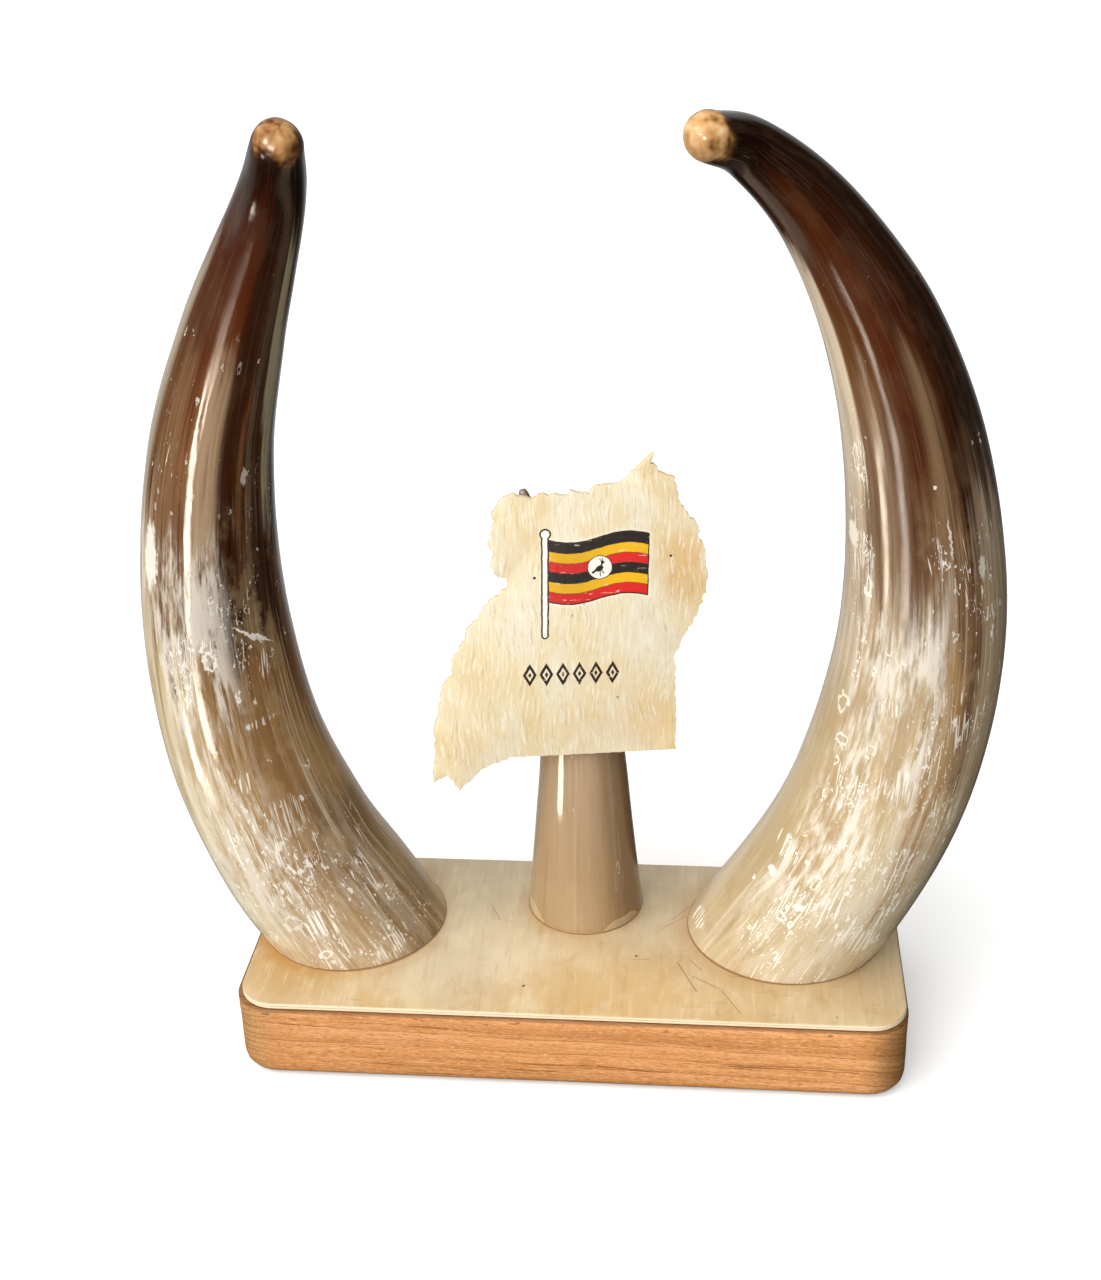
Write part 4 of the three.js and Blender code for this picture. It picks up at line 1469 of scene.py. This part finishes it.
plateLook = {
    "noises": {  # scale, detail, roughness, distortion and squash
        "broad": (22.0, 3.0, 0.55, 0.5),
        "clouds": (75.0, 5.0, 0.66, 0.3, (1.0, 0.6, 1.0)),
        "threads": (520.0, 4.0, 0.62, 0.0, (1.0, 0.1, 1.0)),
        "scuffs": (900.0, 1.0, 0.5, 0.0, (0.1, 1.0, 1.0)),
    },
    "bone": ((0.3, "ceba97"), (0.45, "cbb38b"), (0.57, "c9ae83"), (0.7, "c4a26f")),
    # Patches that fade into each other: centre, radii, colour and strength
    "patches": (
        ((14, -36), (60, 20), "c4a16b", 0.6),
        ((-46, -10), (36, 44), "c3b498", 0.6),
        ((-108, -14), (28, 44), "b08a54", 0.7),
        ((0, 40), (130, 30), "bdab8b", 0.7),
        ((84, -30), (40, 26), "c2a97f", 0.5),
    ),
    "patchEdge": 1.3,
    "patchFraying": 1.6,
    "tints": (
        ("clouds", 0.48, 0.66, 0.45, "d6c5a2"),
        ("clouds", 0.46, 0.32, 0.4, "b08f5f"),
        ("threads", 0.52, 0.7, 0.3, "a98d63"),
        ("threads", 0.44, 0.3, 0.3, "dccdaa"),
    ),
    # The feet on the plate: centre, radii and how strongly each stains the bone round it
    "feet": (
        ((-89.5, 8), (36.3, 36.7), 0.8),
        ((81.3, 10.4), (38.0, 37.6), 0.35),
        ((2, 22.4), (22.9, 22.9), 0.25),
    ),
    "stain": "b48240",
    "stainEdge": (1.24, 1.02),  # 1 is the foot's own edge
    "stainFraying": 0.25,
    "stainLeftward": (0.4, -0.9, 0.25, 1.0),  # the stain is strongest on the foot's left
    "footLine": (0.6, "8f6230"),
    "footLineEdge": (1.012, 1.003),
    "scratches": (  # start, end and width
        ((40.0, -16.0), (47.5, -33.0), 0.35),
        ((46.0, -24.0), (56.0, -31.0), 0.3),
        ((44.5, -14.0), (49.5, -20.5), 0.22),
        ((48.0, 26.0), (37.0, 11.0), 0.18),
        ((42.0, 13.0), (33.0, 5.0), 0.16),
        ((57.0, -32.0), (64.0, -45.0), 0.2),
        ((-36.0, 18.0), (-31.0, 7.0), 0.16),
    ),
    "scratched": (0.6, "6d5330"),
    "scuffEdge": (0.7, 0.75),
    "scuffPlaces": (0.5, 0.6),
    "specks": (0.85, "54361a"),
    "speckCells": 120.0,
    "speckSize": (0.095, 0.06),
    "speckChance": (0.86, 0.88),
    "speckCrowd": (0.4, 0.65, 0.0, 0.14),
    "rim": (0.85, "f3e4c4"),  # the sawn rim is pale, with a fine line along its middle
    "rimLine": (0.5, "b8935f"),
    "rimDrop": (0.3, 0.6),  # how far below the top it starts and is full
    "rimLineDrop": 1.2,
    "rimLineEdge": (0.3, 0.1),
    "roughness": (0.3, 0.7, 0.28, 0.42),
    "scratchDepth": -1.2,
    "reliefDepth": 0.1,
}


def ovalPlace(tree, x, y, centre, radii):
    # Steps from the middle of an oval: 1 is its edge
    return tuple(
        divide(tree, subtract(tree, value, middle), radius)
        for value, middle, radius in zip((x, y), centre, radii))


def plateMaterial(look):
    material, tree, shader = newMaterial("bone plate", **{"IOR": 1.48})
    place = objectPlace(tree)
    x, y, z = inMillimetres(tree, place)
    patterns = {key: noiseAt(tree, place, *row) for key, row in look["noises"].items()}
    broad, clouds = patterns["broad"], patterns["clouds"]
    base = ramp(tree, broad, look["bone"])
    for centre, radii, code, strength in look["patches"]:
        dx, dy = ovalPlace(tree, x, y, centre, radii)
        sway = swing(tree, clouds, look["patchFraying"])
        far = addUp(tree, multiply(tree, dx, dx), multiply(tree, dy, dy), sway)
        base = mix(tree, fade(tree, far, look["patchEdge"], 0.0, 0.0, strength), base, code)
    base = tinted(tree, base, patterns, look["tints"])
    for centre, radii, strength in look["feet"]:
        dx, dy = ovalPlace(tree, x, y, centre, radii)
        far = hypotenuse(tree, dx, dy)
        uneven = addUp(tree, far, swing(tree, clouds, look["stainFraying"]))
        leftward = fade(tree, dx, *look["stainLeftward"])
        amber = multiply(tree, fade(tree, uneven, *look["stainEdge"]), leftward)
        base = stained(tree, base, amber, (strength, look["stain"]))
        base = stained(tree, base, fade(tree, far, *look["footLineEdge"]), look["footLine"])
    marks = largest(tree, *(strokeMask(tree, x, y, *scratch) for scratch in look["scratches"]))
    scuffs = multiply(
        tree, fade(tree, patterns["scuffs"], *look["scuffEdge"]), fade(tree, broad, *look["scuffPlaces"]))
    base = stained(tree, base, largest(tree, marks, scuffs), look["scratched"])
    specks = cellsAt(tree, place, look["speckCells"])
    chance = addUp(tree, split(tree, specks["Color"])[0], fade(tree, broad, *look["speckCrowd"]))
    dots = multiply(
        tree, fade(tree, specks["Distance"], *look["speckSize"]), fade(tree, chance, *look["speckChance"]))
    base = stained(tree, base, dots, look["specks"])
    rim = fade(tree, z, *(plateTop - drop for drop in look["rimDrop"]))
    base = stained(tree, base, rim, look["rim"])
    toLine = calc(tree, "ABSOLUTE", subtract(tree, z, plateTop - look["rimLineDrop"]))
    middle = fade(tree, toLine, *look["rimLineEdge"])
    base = stained(tree, base, multiply(tree, middle, rim), look["rimLine"])
    rough = fade(tree, clouds, *look["roughness"])
    relief = addUp(tree, patterns["threads"], multiply(tree, marks, look["scratchDepth"]), broad)
    dressSurface(tree, shader, base, rough, relief, look["reliefDepth"])
    return material


blockPiece = makeSlab("wooden_block", "base_block", blockShape, woodMaterial(woodLook))
platePiece = makeSlab("bone_plate", "top_plate", plateShape, plateMaterial(plateLook))
print("block and plate made")


# Floor and light. The floor glows faintly, is left out of reflections and sends no light back up, so
# that its shadows stay faint, the polished horns stay dark and their far side falls into shade.

floorLook = {
    "radius": 6.0,  # in metres
    "steps": 96,
    "height": -0.3,  # a hair below the block's underside
    "glow": 0.16,
    "tones": ((0.3, "f4f4f4"), (0.7, "f6f6f6")),
}


def makeFloor(look):
    mesh = bpy.data.meshes.new("floor")
    angles = [2 * math.pi * i / look["steps"] for i in range(look["steps"])]
    ring = [
        (look["radius"] * math.cos(angle), look["radius"] * math.sin(angle), look["height"] * mm)
        for angle in angles]
    mesh.from_pydata(ring, [], [tuple(range(look["steps"]))])
    material, tree, shader = newMaterial("pale floor", **{
        "Roughness": 0.8, "Specular IOR Level": 0.1,
        "Emission Color": colour("ffffff"), "Emission Strength": look["glow"],
    })
    tone = ramp(tree, noiseAt(tree, objectPlace(tree), 3.0), look["tones"])
    feed(tree, shader.inputs["Base Color"], tone)
    mesh.materials.append(material)
    floor = addObject("floor", mesh)
    floor.visible_glossy = False
    floor.visible_diffuse = False


keyLight = {"from": (-0.5, -0.7, 0.7), "strength": 2.4, "spread": 70, "colour": "fffdf9"}

# Bright panels that only the polished surfaces mirror, in metres: middle, width, height, brightness
panels = (
    ((-0.527, -0.992, -0.145), 0.22, 0.09, 42.0),
    ((-0.492, -1.009, -0.265), 0.18, 0.04, 42.0),
    ((-0.973, -0.561, -0.32), 0.16, 0.2, 44.0),
    ((-0.885, -0.691, -0.39), 0.12, 0.05, 45.0),
    ((-0.7, -0.99, 0.76), 0.26, 0.26, 75.0),
    ((-0.31, -1.08, 0.34), 0.16, 0.16, 110.0),
)

panelColour = "fff1de"

skyLook = {
    "key": (-0.55, -0.75, 0.45),  # towards the bright side of the room
    "dim": 0.1,
    "bright": 1.15,
    "brightSpread": (-0.6, 0.9),  # cosines of the angles where a glow starts and is full
    "belowFloor": 0.55,
    "horizon": (-0.02, 0.02),
    "reflected": 0.02,
    "glow": 0.12,
    "glowSpread": (0.2, 0.95),
    "wall": (-0.25, 1, 0.2),  # towards a pale wall behind the ornament
    "wallGlow": 0.65,
    "wallGlowSpread": (0.5, 0.92),
    "wallLight": 1.2,
    "wallLightSpread": (0.5, 1.0),
}


def addKeyLight(look):
    data = bpy.data.lights.new("key", "SUN")
    data.energy = look["strength"]
    data.angle = math.radians(look["spread"])
    data.color = colour(look["colour"])[:3]
    light = addObject("key", data)
    light.matrix_world = Vector(look["from"]).to_track_quat("Z", "Y").to_matrix().to_4x4()
    light.visible_glossy = False


def addPanel(place, width, height, brightness):
    data = bpy.data.lights.new("panel", "AREA")
    data.shape = "RECTANGLE"
    data.size = width
    data.size_y = height
    data.energy = brightness * math.pi * width * height
    data.color = colour(panelColour)[:3]
    panel = addObject("panel", data)
    # It stands upright and faces the ornament
    facing = Vector((place[0], place[1], 0)).to_track_quat("Z", "Y").to_matrix().to_4x4()
    panel.matrix_world = Matrix.Translation(Vector(place)) @ facing
    panel.visible_diffuse = False
    panel.visible_camera = False


def addSky(look):
    world = bpy.data.worlds.new("sky")
    bpy.context.scene.world = world
    world.use_nodes = True
    tree = world.node_tree
    background = tree.nodes["Background"]
    direction = addNode(tree, "ShaderNodeTexCoord").outputs["Generated"]
    height = split(tree, direction)[2]
    facing = vectorCalc(tree, "DOT_PRODUCT", direction, tuple(Vector(look["key"]).normalized()))
    wallward = vectorCalc(tree, "DOT_PRODUCT", direction, tuple(Vector(look["wall"]).normalized()))
    brightness = addUp(
        tree, fade(tree, facing, *look["brightSpread"], look["dim"], look["bright"]),
        fade(tree, wallward, *look["wallLightSpread"], 0.0, look["wallLight"]))
    diffuse = multiply(tree, brightness, fade(tree, height, *look["horizon"], look["belowFloor"], 1.0))
    # Polished surfaces mirror a dark room with a faint glow on one side and the wall on the other
    mirrored = addUp(
        tree, look["reflected"], fade(tree, facing, *look["glowSpread"], 0.0, look["glow"]),
        fade(tree, wallward, *look["wallGlowSpread"], 0.0, look["wallGlow"]))
    rays = addNode(tree, "ShaderNodeLightPath").outputs
    glossy, seen = rays["Is Glossy Ray"], rays["Is Camera Ray"]
    lighting = addUp(
        tree, multiply(tree, glossy, mirrored), multiply(tree, subtract(tree, 1.0, glossy), diffuse))
    # The room is pale where it is seen past the floor
    strength = addUp(tree, seen, multiply(tree, subtract(tree, 1.0, seen), lighting))
    feed(tree, background.inputs["Color"], colour("ffffff"))
    feed(tree, background.inputs["Strength"], strength)


makeFloor(floorLook)
addKeyLight(keyLight)
for panel in panels:
    addPanel(*panel)
addSky(skyLook)
bpy.context.scene.view_settings.view_transform = "Standard"

# Each piece stands for its CAD node
pieces = (
    (leftPiece, "horn_left", "dark_horn"),
    (rightPiece, "horn_right", "dark_horn"),
    (pedestalPiece, "pedestal_horn", "tan_horn"),
    (plaquePiece, "map_plaque", "bone_plaque"),
    (blockPiece, "base_block", "wood"),
    (platePiece, "top_plate", "bone_plate"),
)
for piece, node, slotName in pieces:
    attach(piece, "root")
    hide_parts(node)
print("pieces placed")
